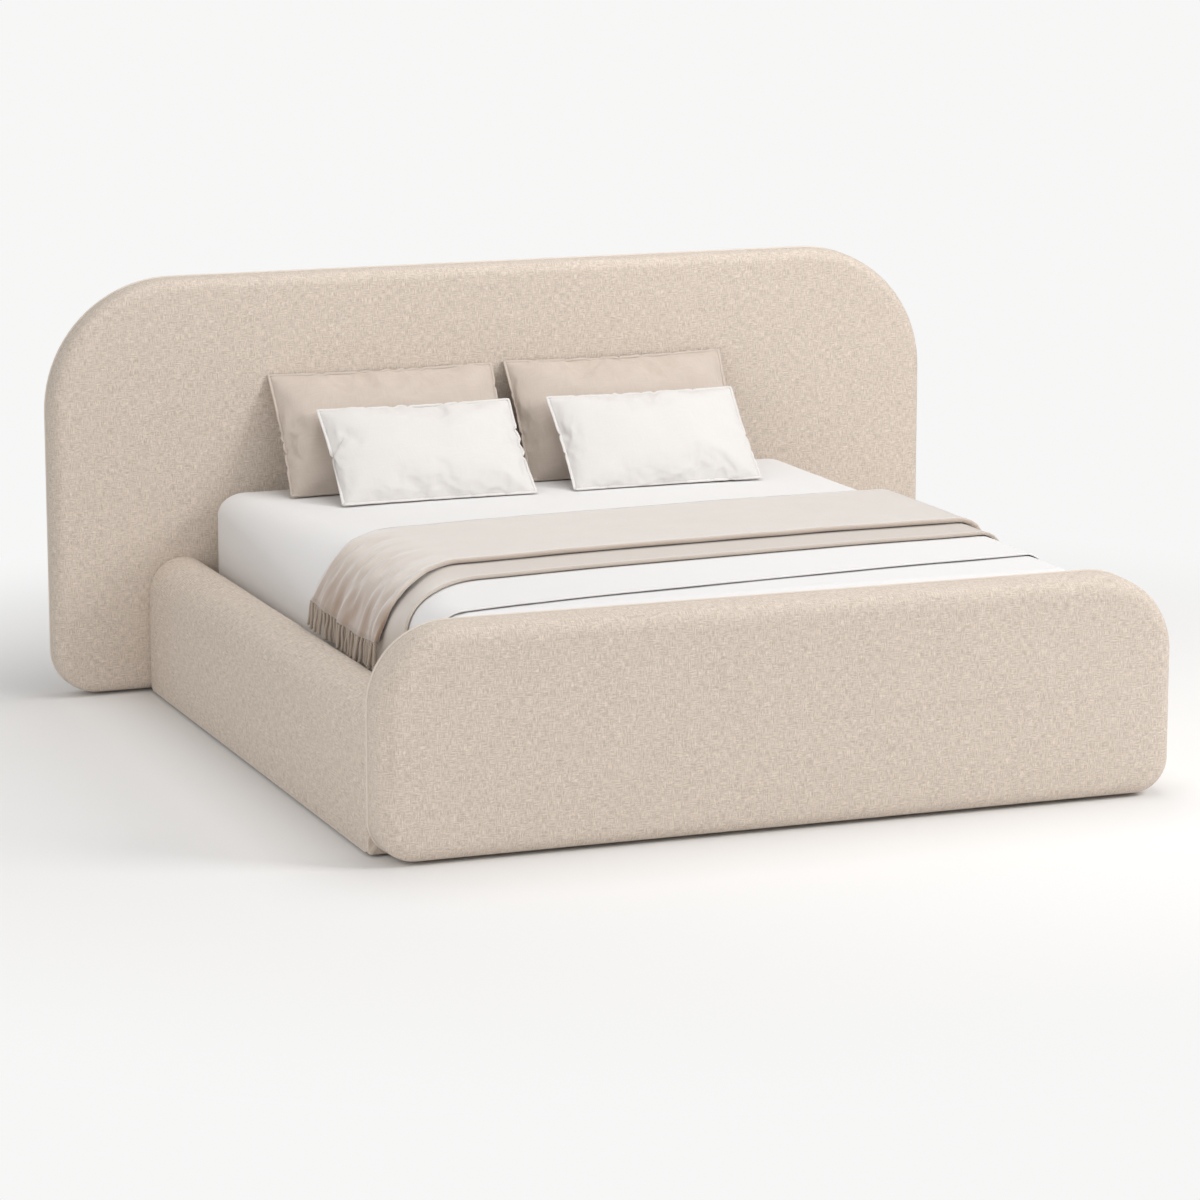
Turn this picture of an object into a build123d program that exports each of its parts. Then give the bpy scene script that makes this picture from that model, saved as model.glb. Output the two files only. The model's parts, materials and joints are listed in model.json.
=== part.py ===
from build123d import *

import math
import os
from dataclasses import dataclass

# Upholstered box spring bed with rounded boards, made up with bedding, pillows and a throw.
# Millimetres, +Z up. X runs across the bed and +Y towards the headboard.
# The origin is on the floor, in the middle of the footprint.

# Fits shared by the whole bed
layer_gap = 0.3          # between layers that are sewn, glued or stapled together
rest_gap = 0.3           # between loose pieces that lie on each other
hole_clearance = 0.6     # on the diameter round a bolt or screw
cut_overrun = 5.0        # how far a cutting tool runs past a face
least_corner = 6.0       # smallest radius left when an outline is drawn in

# Mattress
mattress_width = 1800.0
mattress_length = 2000.0
mattress_thickness = 282.0
mattress_edge_radius = 104.0
mattress_corner_radius = 112.0
sheet_thickness = 1.5
ticking_thickness = 2.0
mattress_base_foam = 40.0
mattress_top_foam = 60.0
mattress_wall_foam = 70.0
mattress_spring_diameter = 66.0
mattress_spring_columns = 10
mattress_spring_rows = 11

# Space round the mattress inside the frame
mattress_side_gap = 6.0
mattress_end_gap = 10.0

# Upholstery
cover_thickness = 2.0
glide_height = 8.0
glide_diameter = 36.0

# Headboard
headboard_wing = 274.0   # how far the headboard stands out past the rails
headboard_height = 1195.0
headboard_thickness = 100.0
headboard_top_radius = 375.0
headboard_bottom_radius = 125.0
headboard_front_edge = 34.0
headboard_back_edge = 12.0
headboard_front_foam = 36.0
headboard_side_foam = 40.0
headboard_window_margin = 80.0

# Footboard
footboard_overhang = 4.0  # how far the footboard stands out past the rails
footboard_height = 590.0
footboard_thickness = 155.0
footboard_top_radius = 208.0
footboard_bottom_radius = 95.0
footboard_front_edge = 46.0
footboard_back_edge = 24.0
footboard_front_foam = 45.0
footboard_side_foam = 50.0
footboard_window_margin = 120.0
footboard_window_edge = 34.0

# Timber inside both boards
board_thickness = 12.0
frame_depth = 38.0
frame_member = 70.0
post_share = 0.36        # place of the two posts, as a share of the half width
block_width = 90.0

# Side rails
rail_width = 184.0
rail_height = 390.0
rail_outer_round_share = 0.545   # share of the width that the outer round of the crest takes
rail_bottom_edge = 10.0
rail_board_thickness = 28.0
rail_board_height = 284.0
rail_panel_thickness = 12.0
rail_panel_inset = 42.0
rail_spacer_length = 60.0
rail_spacer_shares = (0.08, 0.36, 0.64, 0.92)

# Brackets that join the rails to the boards
bracket_height = 50.0
bracket_flange = 50.0
bracket_thickness = 4.0
bracket_lift = 44.0      # height of the bracket's foot over the floor
bracket_hole_shares = (0.26, 0.74)
bolt_diameter = 8.0
bolt_length = 30.0
bolt_head_diameter = 14.0
bolt_head_height = 4.5

# Slatted deck
ledger_width = 30.0
ledger_height = 40.0
ledger_top = 96.0
slat_width = 80.0
slat_thickness = 18.0
slat_count = 11
slat_end_gap = 3.0
screw_diameter = 4.5
screw_head_diameter = 9.0
screw_head_height = 3.0
slat_screw_length = 40.0
ledger_screw_length = 48.0
ledger_screw_count = 4

# Middle beam, its hangers and its legs
beam_width = 70.0
beam_height = 60.0
hanger_thickness = 4.0
hanger_reach = 50.0
hanger_ear = 24.0
leg_diameter = 50.0
leg_shares = (0.18, 0.5, 0.82)

# Spring box, two units side by side
spring_box_height = 190.0
spring_box_gap = 4.0
spring_box_edge_radius = 10.0
spring_box_corner_radius = 24.0
spring_box_ticking = 1.5
spring_box_frame_height = 58.0
spring_box_frame_member = 30.0
spring_box_crossbar_width = 60.0
spring_box_crossbar_shares = (0.2, 0.4, 0.6, 0.8)
spring_box_deck = 5.0
spring_box_wall_foam = 28.0
spring_box_spring_height = 92.0
spring_box_spring_diameter = 78.0
spring_box_spring_columns = 5
spring_box_spring_rows = 12

# Bedding over the mattress. Places along the bed are measured from the footboard's front face
top_sheet_thickness = 3.0
top_sheet_foot_edge = 313.0
top_sheet_head_edge = 1250.0
coverlet_thickness = 5.0
coverlet_foot_edge = 601.0
coverlet_head_edge = 1290.0
throw_thickness = 9.0
throw_foot_edge = 846.0
throw_head_edge = 1385.0
throw_hang = 140.0       # fall of the woven cloth below the top of the mattress
throw_fold_count = 5
throw_fold_depth = 5.0
layer_hang = 232.0       # fall of the coverlet and the top sheet
fringe_count = 22
fringe_length = 62.0
fringe_strand = 7.0
fringe_spread = 9.0      # how far a strand's tip stands out from the mattress

# Pillows and cushions
pillow_width = 680.0
pillow_height = 395.0
pillow_thickness = 150.0
pillow_lean = 34.0       # degrees from upright
pillow_cover = 1.6
pillow_left_x = -380.0
pillow_right_x = 345.0
cushion_width = 580.0
cushion_height = 340.0
cushion_thickness = 120.0
cushion_lean = 45.0
cushion_left_x = -345.0
cushion_right_x = 357.0
cushion_seam = 7.0
side_draw_share = 0.035  # how far the sides pull in between the corners, of the height
station_shares = (-1.0, -0.95, -0.8, -0.5, 0.0, 0.5, 0.8, 0.95, 1.0)
swell_power = 2.6
swell_root = 0.55
seat_steps = 14

# Places along Y, Z and X that follow from the sizes above
base_length = mattress_length + 2 * mattress_end_gap
total_depth = footboard_thickness + base_length + headboard_thickness
foot_front = -total_depth / 2
foot_back = foot_front + footboard_thickness
head_front = foot_back + base_length
rail_inner = mattress_width / 2 + mattress_side_gap
rail_outer = rail_inner + rail_width
headboard_width = 2 * (rail_outer + headboard_wing)
footboard_width = 2 * (rail_outer + footboard_overhang)
deck_top = ledger_top + slat_thickness
spring_box_top = deck_top + spring_box_height
mattress_bottom = spring_box_top
mattress_top = mattress_bottom + mattress_thickness
beam_bottom = ledger_top - beam_height
skin = cover_thickness + layer_gap


@dataclass(frozen=True)
class Board:
    """Sizes of an upholstered end board, whose own front face is at y = 0."""

    width: float
    height: float
    thickness: float
    top_radius: float
    bottom_radius: float
    front_edge: float
    back_edge: float
    front_foam: float
    side_foam: float


headboard = Board(
    headboard_width, headboard_height, headboard_thickness,
    headboard_top_radius, headboard_bottom_radius,
    headboard_front_edge, headboard_back_edge,
    headboard_front_foam, headboard_side_foam,
)
footboard = Board(
    footboard_width, footboard_height, footboard_thickness,
    footboard_top_radius, footboard_bottom_radius,
    footboard_front_edge, footboard_back_edge,
    footboard_front_foam, footboard_side_foam,
)


def save(name, *solids):
    """Write one node: a single solid, or a group of separate solids."""
    pieces = [piece for solid in solids for piece in solid.solids()]
    shape = pieces[0] if len(pieces) == 1 else Compound(children=pieces)
    export_step(shape, f"parts/{name}.step")


def block(x0, x1, y0, y1, z0, z1):
    """Box between two corners."""
    corner = (Align.MIN, Align.MIN, Align.MIN)
    return Pos(x0, y0, z0) * Box(x1 - x0, y1 - y0, z1 - z0, align=corner)


def rod(start, direction, diameter, length):
    """Cylinder from a start point along a direction."""
    plane = Plane(origin=start, z_dir=direction)
    return plane * Cylinder(diameter / 2, length, align=(Align.CENTER, Align.CENTER, Align.MIN))


def rounded_outline(width, height, top_radius, bottom_radius):
    """Rectangle that stands on its base line, with its upper and lower corners rounded."""
    face = Rectangle(width, height, align=(Align.CENTER, Align.MIN))
    face = fillet(face.vertices().group_by(Axis.Y)[-1], top_radius)
    return fillet(face.vertices().group_by(Axis.Y)[0], bottom_radius)


def board_slab(board, inset, y0, y1):
    """Plain slab of the board's outline, drawn in by inset, from y0 to y1."""
    outline = rounded_outline(
        board.width - 2 * inset, board.height - 2 * inset,
        max(board.top_radius - inset, least_corner), max(board.bottom_radius - inset, least_corner),
    )
    return Pos(0, y0, glide_height + inset) * extrude(Plane.XZ * outline, amount=y0 - y1)


def board_form(board, inset):
    """The upholstered form of a board, drawn in by inset on every side."""
    form = board_slab(board, inset, inset, board.thickness - inset)
    form = fillet(form.edges().group_by(Axis.Y)[0], board.front_edge - inset)
    return fillet(form.edges().group_by(Axis.Y)[-1], board.back_edge - inset)


def fixing_blocks(y0, y1, swell):
    """Timber blocks behind the cover, where the rails and the beam are bolted on."""
    bottom = bracket_lift - swell
    top = bracket_lift + bracket_height + swell
    side_half = block_width / 2 + swell
    middle_half = hanger_half + hanger_ear + swell
    spans = ((-bracket_x, side_half), (0, middle_half), (bracket_x, side_half))
    return [block(x - half, x + half, y0, y1, bottom, top) for x, half in spans]


def timber_frame(board, y0, y1):
    """Ring of timber that follows the outline, with two posts."""
    ring = board_slab(board, board.side_foam, y0, y1)
    ring -= board_slab(board, board.side_foam + frame_member, y0 - cut_overrun, y1 + cut_overrun)
    half = frame_member / 2
    bottom = glide_height + board.side_foam + half
    top = glide_height + board.height - board.side_foam - half
    for side in (-1, 1):
        centre = side * post_share * board.width / 2
        ring += block(centre - half, centre + half, y0, y1, bottom, top)
    return ring


def bolt(seat, direction):
    """Bolt whose head bears on seat and whose shank runs along direction."""
    back = Vector(*seat) - Vector(*direction) * bolt_head_height
    shank = rod(seat, direction, bolt_diameter, bolt_length)
    return rod(back, direction, bolt_head_diameter, bolt_head_height) + shank


def bolt_hole(seat, direction):
    """Clearance hole for that bolt, a little deeper than its shank."""
    return rod(seat, direction, bolt_diameter + hole_clearance, bolt_length + cut_overrun)


def screw(seat, direction, length):
    """Countersunk screw whose head is flush with seat."""
    plane = Plane(origin=seat, z_dir=direction)
    head = plane * Cone(
        screw_head_diameter / 2, screw_diameter / 2, screw_head_height,
        align=(Align.CENTER, Align.CENTER, Align.MIN),
    )
    return head + rod(seat, direction, screw_diameter, length)


def screw_hole(seat, direction, length):
    """Countersunk hole that the screw sits in."""
    plane = Plane(origin=seat, z_dir=direction)
    slack = hole_clearance / 2
    head = plane * Cone(
        screw_head_diameter / 2 + slack, screw_diameter / 2 + slack, screw_head_height,
        align=(Align.CENTER, Align.CENTER, Align.MIN),
    )
    return head + rod(seat, direction, screw_diameter + hole_clearance, length + slack)


def cut(solid, tools):
    """Take every tool out of a solid."""
    for tool in tools:
        solid -= tool
    return solid


def soft_block(width, length, height, corner_radius, edge_radius, inset):
    """Rounded upholstery block on z = 0, centred in plan and drawn in by inset."""
    form = Box(
        width - 2 * inset, length - 2 * inset, height - 2 * inset,
        align=(Align.CENTER, Align.CENTER, Align.MIN),
    )
    form = fillet(form.edges().filter_by(Axis.Z), corner_radius - inset)
    ends = form.edges().group_by(Axis.Z)
    form = fillet(ends[0] + ends[-1], edge_radius - inset)
    return Pos(0, 0, inset) * form


def grid_places(columns, rows, width, length):
    """Centres of a grid of equal cells that fills width by length."""
    return [
        (width * ((column + 0.5) / columns - 0.5), length * ((row + 0.5) / rows - 0.5))
        for column in range(columns) for row in range(rows)
    ]


def pocket_springs(places, diameter, z0, z1, centre):
    """Cloth-pocketed springs, one barrel for each place."""
    return [
        rod((centre[0] + x, centre[1] + y, z0), (0, 0, 1), diameter, z1 - z0) for x, y in places
    ]


# Joints between rails and boards
bracket_x = rail_inner - bracket_flange / 2
bracket_holes = [bracket_lift + bracket_height * share for share in bracket_hole_shares]

board_bolt_seats = {"head": [], "foot": []}
rail_bolt_seats = {-1: [], 1: []}
brackets = []
for end, face, inward in (("foot", foot_back, 1), ("head", head_front, -1)):
    for side in (-1, 1):
        flange_y = sorted((face, face + inward * bracket_thickness))
        reach_y = sorted((face, face + inward * bracket_flange))
        inner_x = sorted((side * (rail_inner - bracket_flange), side * rail_inner))
        wall_x = sorted((side * (rail_inner - bracket_thickness), side * rail_inner))
        foot_z, top_z = bracket_lift, bracket_lift + bracket_height
        bracket = block(*inner_x, *flange_y, foot_z, top_z) + block(*wall_x, *reach_y, foot_z, top_z)
        for z in bracket_holes:
            on_board = (side * bracket_x, face + inward * bracket_thickness, z)
            on_rail = (
                side * (rail_inner - bracket_thickness),
                face + inward * (bracket_flange + bracket_thickness) / 2,
                z,
            )
            board_bolt_seats[end].append((on_board, (0, -inward, 0)))
            rail_bolt_seats[side].append((on_rail, (side, 0, 0)))
            bracket -= bolt_hole(*board_bolt_seats[end][-1])
            bracket -= bolt_hole(*rail_bolt_seats[side][-1])
        brackets.append(bracket)

save("rail_corner_brackets", *brackets)

# Middle beam in a hanger at each end
hanger_half = beam_width / 2 + rest_gap + hanger_thickness
hangers = []
hanger_seats = {"head": [], "foot": []}
for end, face, inward in (("foot", foot_back, 1), ("head", head_front, -1)):
    plate_y = sorted((face, face + inward * hanger_thickness))
    reach_y = sorted((face, face + inward * hanger_reach))
    shelf_z = (beam_bottom - hanger_thickness, beam_bottom)
    top_z = bracket_lift + bracket_height
    ear = hanger_half + hanger_ear
    hanger = block(-ear, ear, *plate_y, shelf_z[0], top_z)
    hanger += block(-hanger_half, hanger_half, *reach_y, *shelf_z)
    for side in (-1, 1):
        cheek_x = sorted((side * (hanger_half - hanger_thickness), side * hanger_half))
        hanger += block(*cheek_x, *reach_y, shelf_z[0], top_z)
        seat_z = (shelf_z[0] + top_z) / 2
        seat = (side * (hanger_half + hanger_ear / 2), face + inward * hanger_thickness, seat_z)
        hanger_seats[end].append((seat, (0, -inward, 0)))
        hanger -= bolt_hole(*hanger_seats[end][-1])
    hangers.append(hanger)
save("beam_hangers", *hangers)
bolt_seats = [
    seat for group in (board_bolt_seats, rail_bolt_seats, hanger_seats)
    for seats in group.values() for seat in seats
]
save("frame_bolts", *[bolt(*seat) for seat in bolt_seats])

beam_ends = (foot_back + hanger_thickness + rest_gap, head_front - hanger_thickness - rest_gap)
centre_beam = block(-beam_width / 2, beam_width / 2, *beam_ends, beam_bottom, ledger_top)
leg_places = [beam_ends[0] + share * (beam_ends[1] - beam_ends[0]) for share in leg_shares]
legs = [rod((0, y, glide_height), (0, 0, 1), leg_diameter, beam_bottom - glide_height)
        for y in leg_places]
save("centre_legs", *legs)

# Headboard, modelled with its front at y = 0 and then set behind the base
head_place = Pos(0, head_front, 0)
head_core_front = skin + headboard_front_foam
head_core_back = headboard_thickness - skin
head_holes = [
    Pos(0, -head_front, 0) * bolt_hole(*seat)
    for seat in board_bolt_seats["head"] + hanger_seats["head"]
]
window = (headboard_window_margin, headboard_thickness - cover_thickness)
head_window = board_slab(headboard, window[0], window[1] - cut_overrun,
                         headboard_thickness + cut_overrun)
head_blocks = fixing_blocks(skin, head_core_front, 0)
head_cover = board_form(headboard, 0) - board_form(headboard, cover_thickness) - head_window
head_foam = board_form(headboard, skin) - board_slab(
    headboard, headboard_side_foam - layer_gap, head_core_front - layer_gap,
    headboard_thickness + cut_overrun,
)
head_foam = cut(head_foam, fixing_blocks(-cut_overrun, head_core_front + cut_overrun, layer_gap))
head_board = board_slab(headboard, headboard_side_foam, head_core_front,
                        head_core_front + board_thickness)
head_frame = timber_frame(headboard, head_core_front + board_thickness, head_core_back)
head_cloth = board_slab(headboard, headboard_window_margin + layer_gap, window[1],
                        headboard_thickness)
save("headboard_cover", head_place * cut(head_cover, head_holes))
save("headboard_foam", head_place * head_foam)
save("headboard_panel", head_place * head_board)
save("headboard_frame", head_place * head_frame)
save("headboard_back_cloth", head_place * head_cloth)
save("headboard_fixing_blocks", *[head_place * cut(piece, head_holes) for piece in head_blocks])

# Footboard, padded in front and behind
foot_place = Pos(0, foot_front, 0)
foot_core_front = skin + footboard_front_foam
foot_core_back = foot_core_front + board_thickness + frame_depth
foot_holes = [
    Pos(0, -foot_front, 0) * bolt_hole(*seat)
    for seat in board_bolt_seats["foot"] + hanger_seats["foot"]
]
foot_blocks = fixing_blocks(foot_core_back, footboard_thickness - skin, 0)
foot_window_half = footboard_width / 2 - footboard_window_margin
foot_window_y = (footboard_front_edge, footboard_thickness - footboard_window_edge)
foot_window = block(-foot_window_half, foot_window_half, *foot_window_y,
                    glide_height - cut_overrun, glide_height + cover_thickness)
foot_cloth = block(-foot_window_half + layer_gap, foot_window_half - layer_gap,
                   foot_window_y[0] + layer_gap, foot_window_y[1] - layer_gap,
                   glide_height, glide_height + cover_thickness)
foot_cover = board_form(footboard, 0) - board_form(footboard, cover_thickness) - foot_window
foot_foam = board_form(footboard, skin) - board_slab(
    footboard, footboard_side_foam - layer_gap, foot_core_front - layer_gap,
    foot_core_back + layer_gap,
)
foot_foam = cut(foot_foam, fixing_blocks(foot_core_back - cut_overrun,
                                         footboard_thickness + cut_overrun, layer_gap))
foot_board = board_slab(footboard, footboard_side_foam, foot_core_front,
                        foot_core_front + board_thickness)
foot_frame = timber_frame(footboard, foot_core_front + board_thickness, foot_core_back)
save("footboard_cover", foot_place * cut(foot_cover, foot_holes))
save("footboard_foam", foot_place * foot_foam)
save("footboard_panel", foot_place * foot_board)
save("footboard_frame", foot_place * foot_frame)
save("footboard_base_cloth", foot_place * foot_cloth)
save("footboard_fixing_blocks", *[foot_place * cut(piece, foot_holes) for piece in foot_blocks])


# Side rails
def rail_form(side, inset):
    """Rail section with a full round crest, drawn in by inset and run along the base."""
    outer_round = rail_width * rail_outer_round_share
    inner_round = rail_width - outer_round
    crest = glide_height + rail_height
    inner, outer = rail_inner + inset, rail_outer - inset
    low, top = glide_height + inset, crest - inset
    crest_x = rail_outer - outer_round
    edge = rail_bottom_edge - inset
    turn = math.sqrt(0.5)
    outer_mid = (crest_x + (outer - crest_x) * turn, crest - outer_round + (outer_round - inset) * turn)
    inner_top = crest - inner_round
    inner_mid = (crest_x - (crest_x - inner) * turn, inner_top + (inner_round - inset) * turn)
    lines = [
        Line((inner + edge, low), (outer - edge, low)),
        RadiusArc((outer - edge, low), (outer, low + edge), -edge),
        Line((outer, low + edge), (outer, crest - outer_round)),
        ThreePointArc((outer, crest - outer_round), outer_mid, (crest_x, top)),
        ThreePointArc((crest_x, top), inner_mid, (inner, inner_top)),
        Line((inner, inner_top), (inner, low + edge)),
        RadiusArc((inner, low + edge), (inner + edge, low), -edge),
    ]
    section = make_face(Plane.XZ * Curve(lines))
    form = Pos(0, foot_back, 0) * extrude(section, amount=base_length, dir=(0, 1, 0))
    return form if side > 0 else mirror(form, Plane.YZ)


ledger_ends = (foot_back + bracket_flange + cut_overrun, head_front - bracket_flange - cut_overrun)
ledger_screw_y = [
    ledger_ends[0] + (ledger_ends[1] - ledger_ends[0]) * (index + 0.5) / ledger_screw_count
    for index in range(ledger_screw_count)
]
slat_pitch = (ledger_ends[1] - ledger_ends[0] - slat_width) / (slat_count - 1)
slat_y = [ledger_ends[0] + slat_width / 2 + slat_pitch * index for index in range(slat_count)]
slat_half = rail_inner - slat_end_gap
ledger_middle = rail_inner - ledger_width / 2

panels = []
spacers = []
ledgers = []
ledger_screws = []
slat_screws = []
slat_seats = []
for side, name in ((-1, "left"), (1, "right")):
    ledger_seats = [
        ((side * (rail_inner - ledger_width), y, ledger_top - ledger_height / 2), (side, 0, 0))
        for y in ledger_screw_y
    ]
    holes = [bolt_hole(*seat) for seat in rail_bolt_seats[side]]
    holes += [screw_hole(*seat, ledger_screw_length) for seat in ledger_seats]
    board_x = sorted((side * (rail_inner + skin), side * (rail_inner + skin + rail_board_thickness)))
    panel_outer = rail_outer - rail_panel_inset
    panel_x = sorted((side * (panel_outer - rail_panel_thickness), side * panel_outer))
    board_low = glide_height + rail_bottom_edge
    board_z = (board_low, board_low + rail_board_height)
    board_y = (foot_back + layer_gap, head_front - layer_gap)
    rail_board = block(*board_x, *board_y, *board_z)
    rail_panel = block(*panel_x, *board_y, *board_z)
    rail_cover = rail_form(side, 0) - rail_form(side, cover_thickness)
    carcass_x = (min(board_x[0], panel_x[0]) - layer_gap, max(board_x[1], panel_x[1]) + layer_gap)
    carcass = block(*carcass_x, foot_back - cut_overrun, head_front + cut_overrun,
                    glide_height - cut_overrun, board_z[1] + layer_gap)
    inner_strip_x = sorted((side * rail_inner, side * (rail_inner + skin + layer_gap)))
    inner_strip = block(*inner_strip_x, foot_back - cut_overrun, head_front + cut_overrun,
                        glide_height - cut_overrun, board_z[1] + layer_gap)
    rail_foam = rail_form(side, skin) - carcass - inner_strip
    for share in rail_spacer_shares:
        centre = foot_back + share * base_length
        gap_x = sorted((side * (rail_inner + skin + rail_board_thickness),
                        side * (panel_outer - rail_panel_thickness)))
        spacers.append(block(*gap_x, centre - rail_spacer_length / 2,
                             centre + rail_spacer_length / 2, *board_z))
    ledger_x = sorted((side * (rail_inner - ledger_width), side * rail_inner))
    ledger = block(*ledger_x, *ledger_ends, ledger_top - ledger_height, ledger_top)
    seats = [((side * ledger_middle, y, deck_top), (0, 0, -1)) for y in slat_y]
    slat_seats += seats
    ledger = cut(ledger, [screw_hole(*seat, ledger_screw_length) for seat in ledger_seats])
    ledger = cut(ledger, [screw_hole(*seat, slat_screw_length) for seat in seats])
    ledger_screws += [screw(*seat, ledger_screw_length) for seat in ledger_seats]
    slat_screws += [screw(*seat, slat_screw_length) for seat in seats]
    save(f"rail_cover_{name}", cut(rail_cover, holes))
    save(f"rail_foam_{name}", rail_foam)
    save(f"rail_board_{name}", cut(rail_board, holes))
    panels.append(rail_panel)
    ledgers.append(ledger)
save("rail_panels", *panels)
save("rail_spacers", *spacers)
save("ledgers", *ledgers)
save("ledger_screws", *ledger_screws)
save("slat_screws", *slat_screws)

slats = []
for index, y in enumerate(slat_y):
    slat = block(-slat_half, slat_half, y - slat_width / 2, y + slat_width / 2,
                 ledger_top, deck_top)
    tools = [screw_hole(*slat_seats[row + index], slat_screw_length) for row in (0, slat_count)]
    slats.append(cut(slat, tools))
save("slats", *slats)
save("centre_beam", centre_beam)

# Glides under the boards, the rails and the middle legs
head_glide_y = head_front + (headboard_front_edge + headboard_thickness - headboard_back_edge) / 2
foot_glide_y = foot_front + (footboard_front_edge + footboard_thickness - footboard_back_edge) / 2
glide_share = 0.7        # place of the glides, as a share of each half length
glide_places = []
for side in (-1, 1):
    glide_places.append((side * glide_share * headboard_width / 2, head_glide_y))
    glide_places.append((side * glide_share * footboard_width / 2, foot_glide_y))
    for end in (-1, 1):
        glide_places.append((side * (rail_inner + rail_outer) / 2,
                             (foot_back + head_front) / 2 + end * glide_share * base_length / 2))
glide_places += [(0, y) for y in leg_places]
save("floor_glides", *[rod((x, y, 0), (0, 0, 1), glide_diameter, glide_height)
                       for x, y in glide_places])

# Spring box, as a left and a right unit
unit_width = (2 * rail_inner - 3 * spring_box_gap) / 2
unit_skin = spring_box_ticking + layer_gap
unit_length = mattress_length
base_middle = (foot_back + head_front) / 2


def spring_unit(side, name):
    """Make one unit, save its own nodes and return its deck and its ring of wall foam."""
    centre_x = side * (spring_box_gap + unit_width) / 2
    place = Pos(centre_x, base_middle, deck_top)
    sizes = (unit_width, unit_length, spring_box_height,
             spring_box_corner_radius, spring_box_edge_radius)
    core_width = unit_width - 2 * unit_skin
    core_length = unit_length - 2 * unit_skin

    def ring(z0, z1, wall):
        outer = Box(core_width, core_length, z1 - z0, align=(Align.CENTER, Align.CENTER, Align.MIN))
        outer = fillet(outer.edges().filter_by(Axis.Z), spring_box_corner_radius - unit_skin)
        inner = Box(core_width - 2 * wall, core_length - 2 * wall, z1 - z0,
                    align=(Align.CENTER, Align.CENTER, Align.MIN))
        return Pos(0, 0, z0) * (outer - inner)

    frame_z = (spring_box_edge_radius, spring_box_frame_height)
    deck_z = (frame_z[1], frame_z[1] + spring_box_deck)
    spring_z = (deck_z[1], deck_z[1] + spring_box_spring_height)
    frame = ring(*frame_z, spring_box_frame_member)
    bar_half = core_width / 2 - spring_box_frame_member / 2
    for share in spring_box_crossbar_shares:
        y = (share - 0.5) * core_length
        frame += block(-bar_half, bar_half, y - spring_box_crossbar_width / 2,
                       y + spring_box_crossbar_width / 2, *frame_z)
    deck = ring(*deck_z, core_width / 4) + block(
        -core_width / 3, core_width / 3, -core_length / 3, core_length / 3, *deck_z)
    wall = ring(*spring_z, spring_box_wall_foam)
    field_width = core_width - 2 * spring_box_wall_foam
    field_length = core_length - 2 * spring_box_wall_foam
    places = grid_places(spring_box_spring_columns, spring_box_spring_rows,
                         field_width, field_length)
    springs = pocket_springs(places, spring_box_spring_diameter, *spring_z, (0, 0))
    top_foam = soft_block(*sizes, unit_skin) - block(
        -unit_width, unit_width, -unit_length, unit_length, -cut_overrun, spring_z[1])
    ticking = soft_block(*sizes, 0) - soft_block(*sizes, spring_box_ticking)
    save(f"spring_box_ticking_{name}", place * ticking)
    save(f"spring_box_frame_{name}", place * frame)
    save(f"spring_box_springs_{name}", *[place * spring for spring in springs])
    save(f"spring_box_top_foam_{name}", place * top_foam)
    return place * deck, place * wall


units = [spring_unit(-1, "left"), spring_unit(1, "right")]
save("spring_box_decks", *[deck for deck, wall in units])
save("spring_box_wall_foam", *[wall for deck, wall in units])

# Mattress: fitted sheet, ticking, foam and pocketed springs
mattress_sizes = (mattress_width, mattress_length, mattress_thickness,
                  mattress_corner_radius, mattress_edge_radius)
mattress_place = Pos(0, base_middle, mattress_bottom)
ticking_inset = sheet_thickness + layer_gap
core_inset = ticking_inset + ticking_thickness + layer_gap
fitted_sheet = soft_block(*mattress_sizes, 0) - soft_block(*mattress_sizes, sheet_thickness)
mattress_ticking = soft_block(*mattress_sizes, ticking_inset) - soft_block(
    *mattress_sizes, ticking_inset + ticking_thickness)
mattress_core = soft_block(*mattress_sizes, core_inset)
spring_low = core_inset + mattress_base_foam
spring_high = mattress_thickness - core_inset - mattress_top_foam
wide = mattress_width + mattress_length
base_foam = mattress_core & block(-wide, wide, -wide, wide, 0, spring_low)
top_foam = mattress_core & block(-wide, wide, -wide, wide, spring_high, mattress_thickness)
spring_field = (mattress_width - 2 * core_inset - 2 * mattress_wall_foam,
                mattress_length - 2 * core_inset - 2 * mattress_wall_foam)
wall_foam = mattress_core & block(-wide, wide, -wide, wide, spring_low, spring_high)
wall_foam -= block(-spring_field[0] / 2, spring_field[0] / 2,
                   -spring_field[1] / 2, spring_field[1] / 2, 0, mattress_thickness)
mattress_springs = pocket_springs(
    grid_places(mattress_spring_columns, mattress_spring_rows, *spring_field),
    mattress_spring_diameter, spring_low, spring_high, (0, 0))
save("mattress_fitted_sheet", mattress_place * fitted_sheet)
save("mattress_ticking", mattress_place * mattress_ticking)
save("mattress_base_foam", mattress_place * base_foam)
save("mattress_wall_foam", mattress_place * wall_foam)
save("mattress_top_foam", mattress_place * top_foam)
save("mattress_springs", *[mattress_place * spring for spring in mattress_springs])


# Bedding
def over_mattress(lift, y0, y1):
    """Solid under a cloth that lies lift above the mattress, from y0 to y1."""
    outline = rounded_outline(
        mattress_width + 2 * lift, mattress_thickness + 2 * lift,
        mattress_edge_radius + lift, mattress_edge_radius + lift)
    low = mattress_bottom - lift
    return Pos(0, y0, low) * extrude(Plane.XZ * outline, amount=y0 - y1)


def draped(lift, thickness, y0, y1, hang):
    """Cloth over the mattress that falls by hang on both sides."""
    cloth = over_mattress(lift + thickness, y0, y1) - over_mattress(
        lift, y0 - cut_overrun, y1 + cut_overrun)
    low = mattress_top - hang
    return cloth - block(-wide, wide, y0 - cut_overrun, y1 + cut_overrun,
                         mattress_bottom - wide, low)


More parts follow.
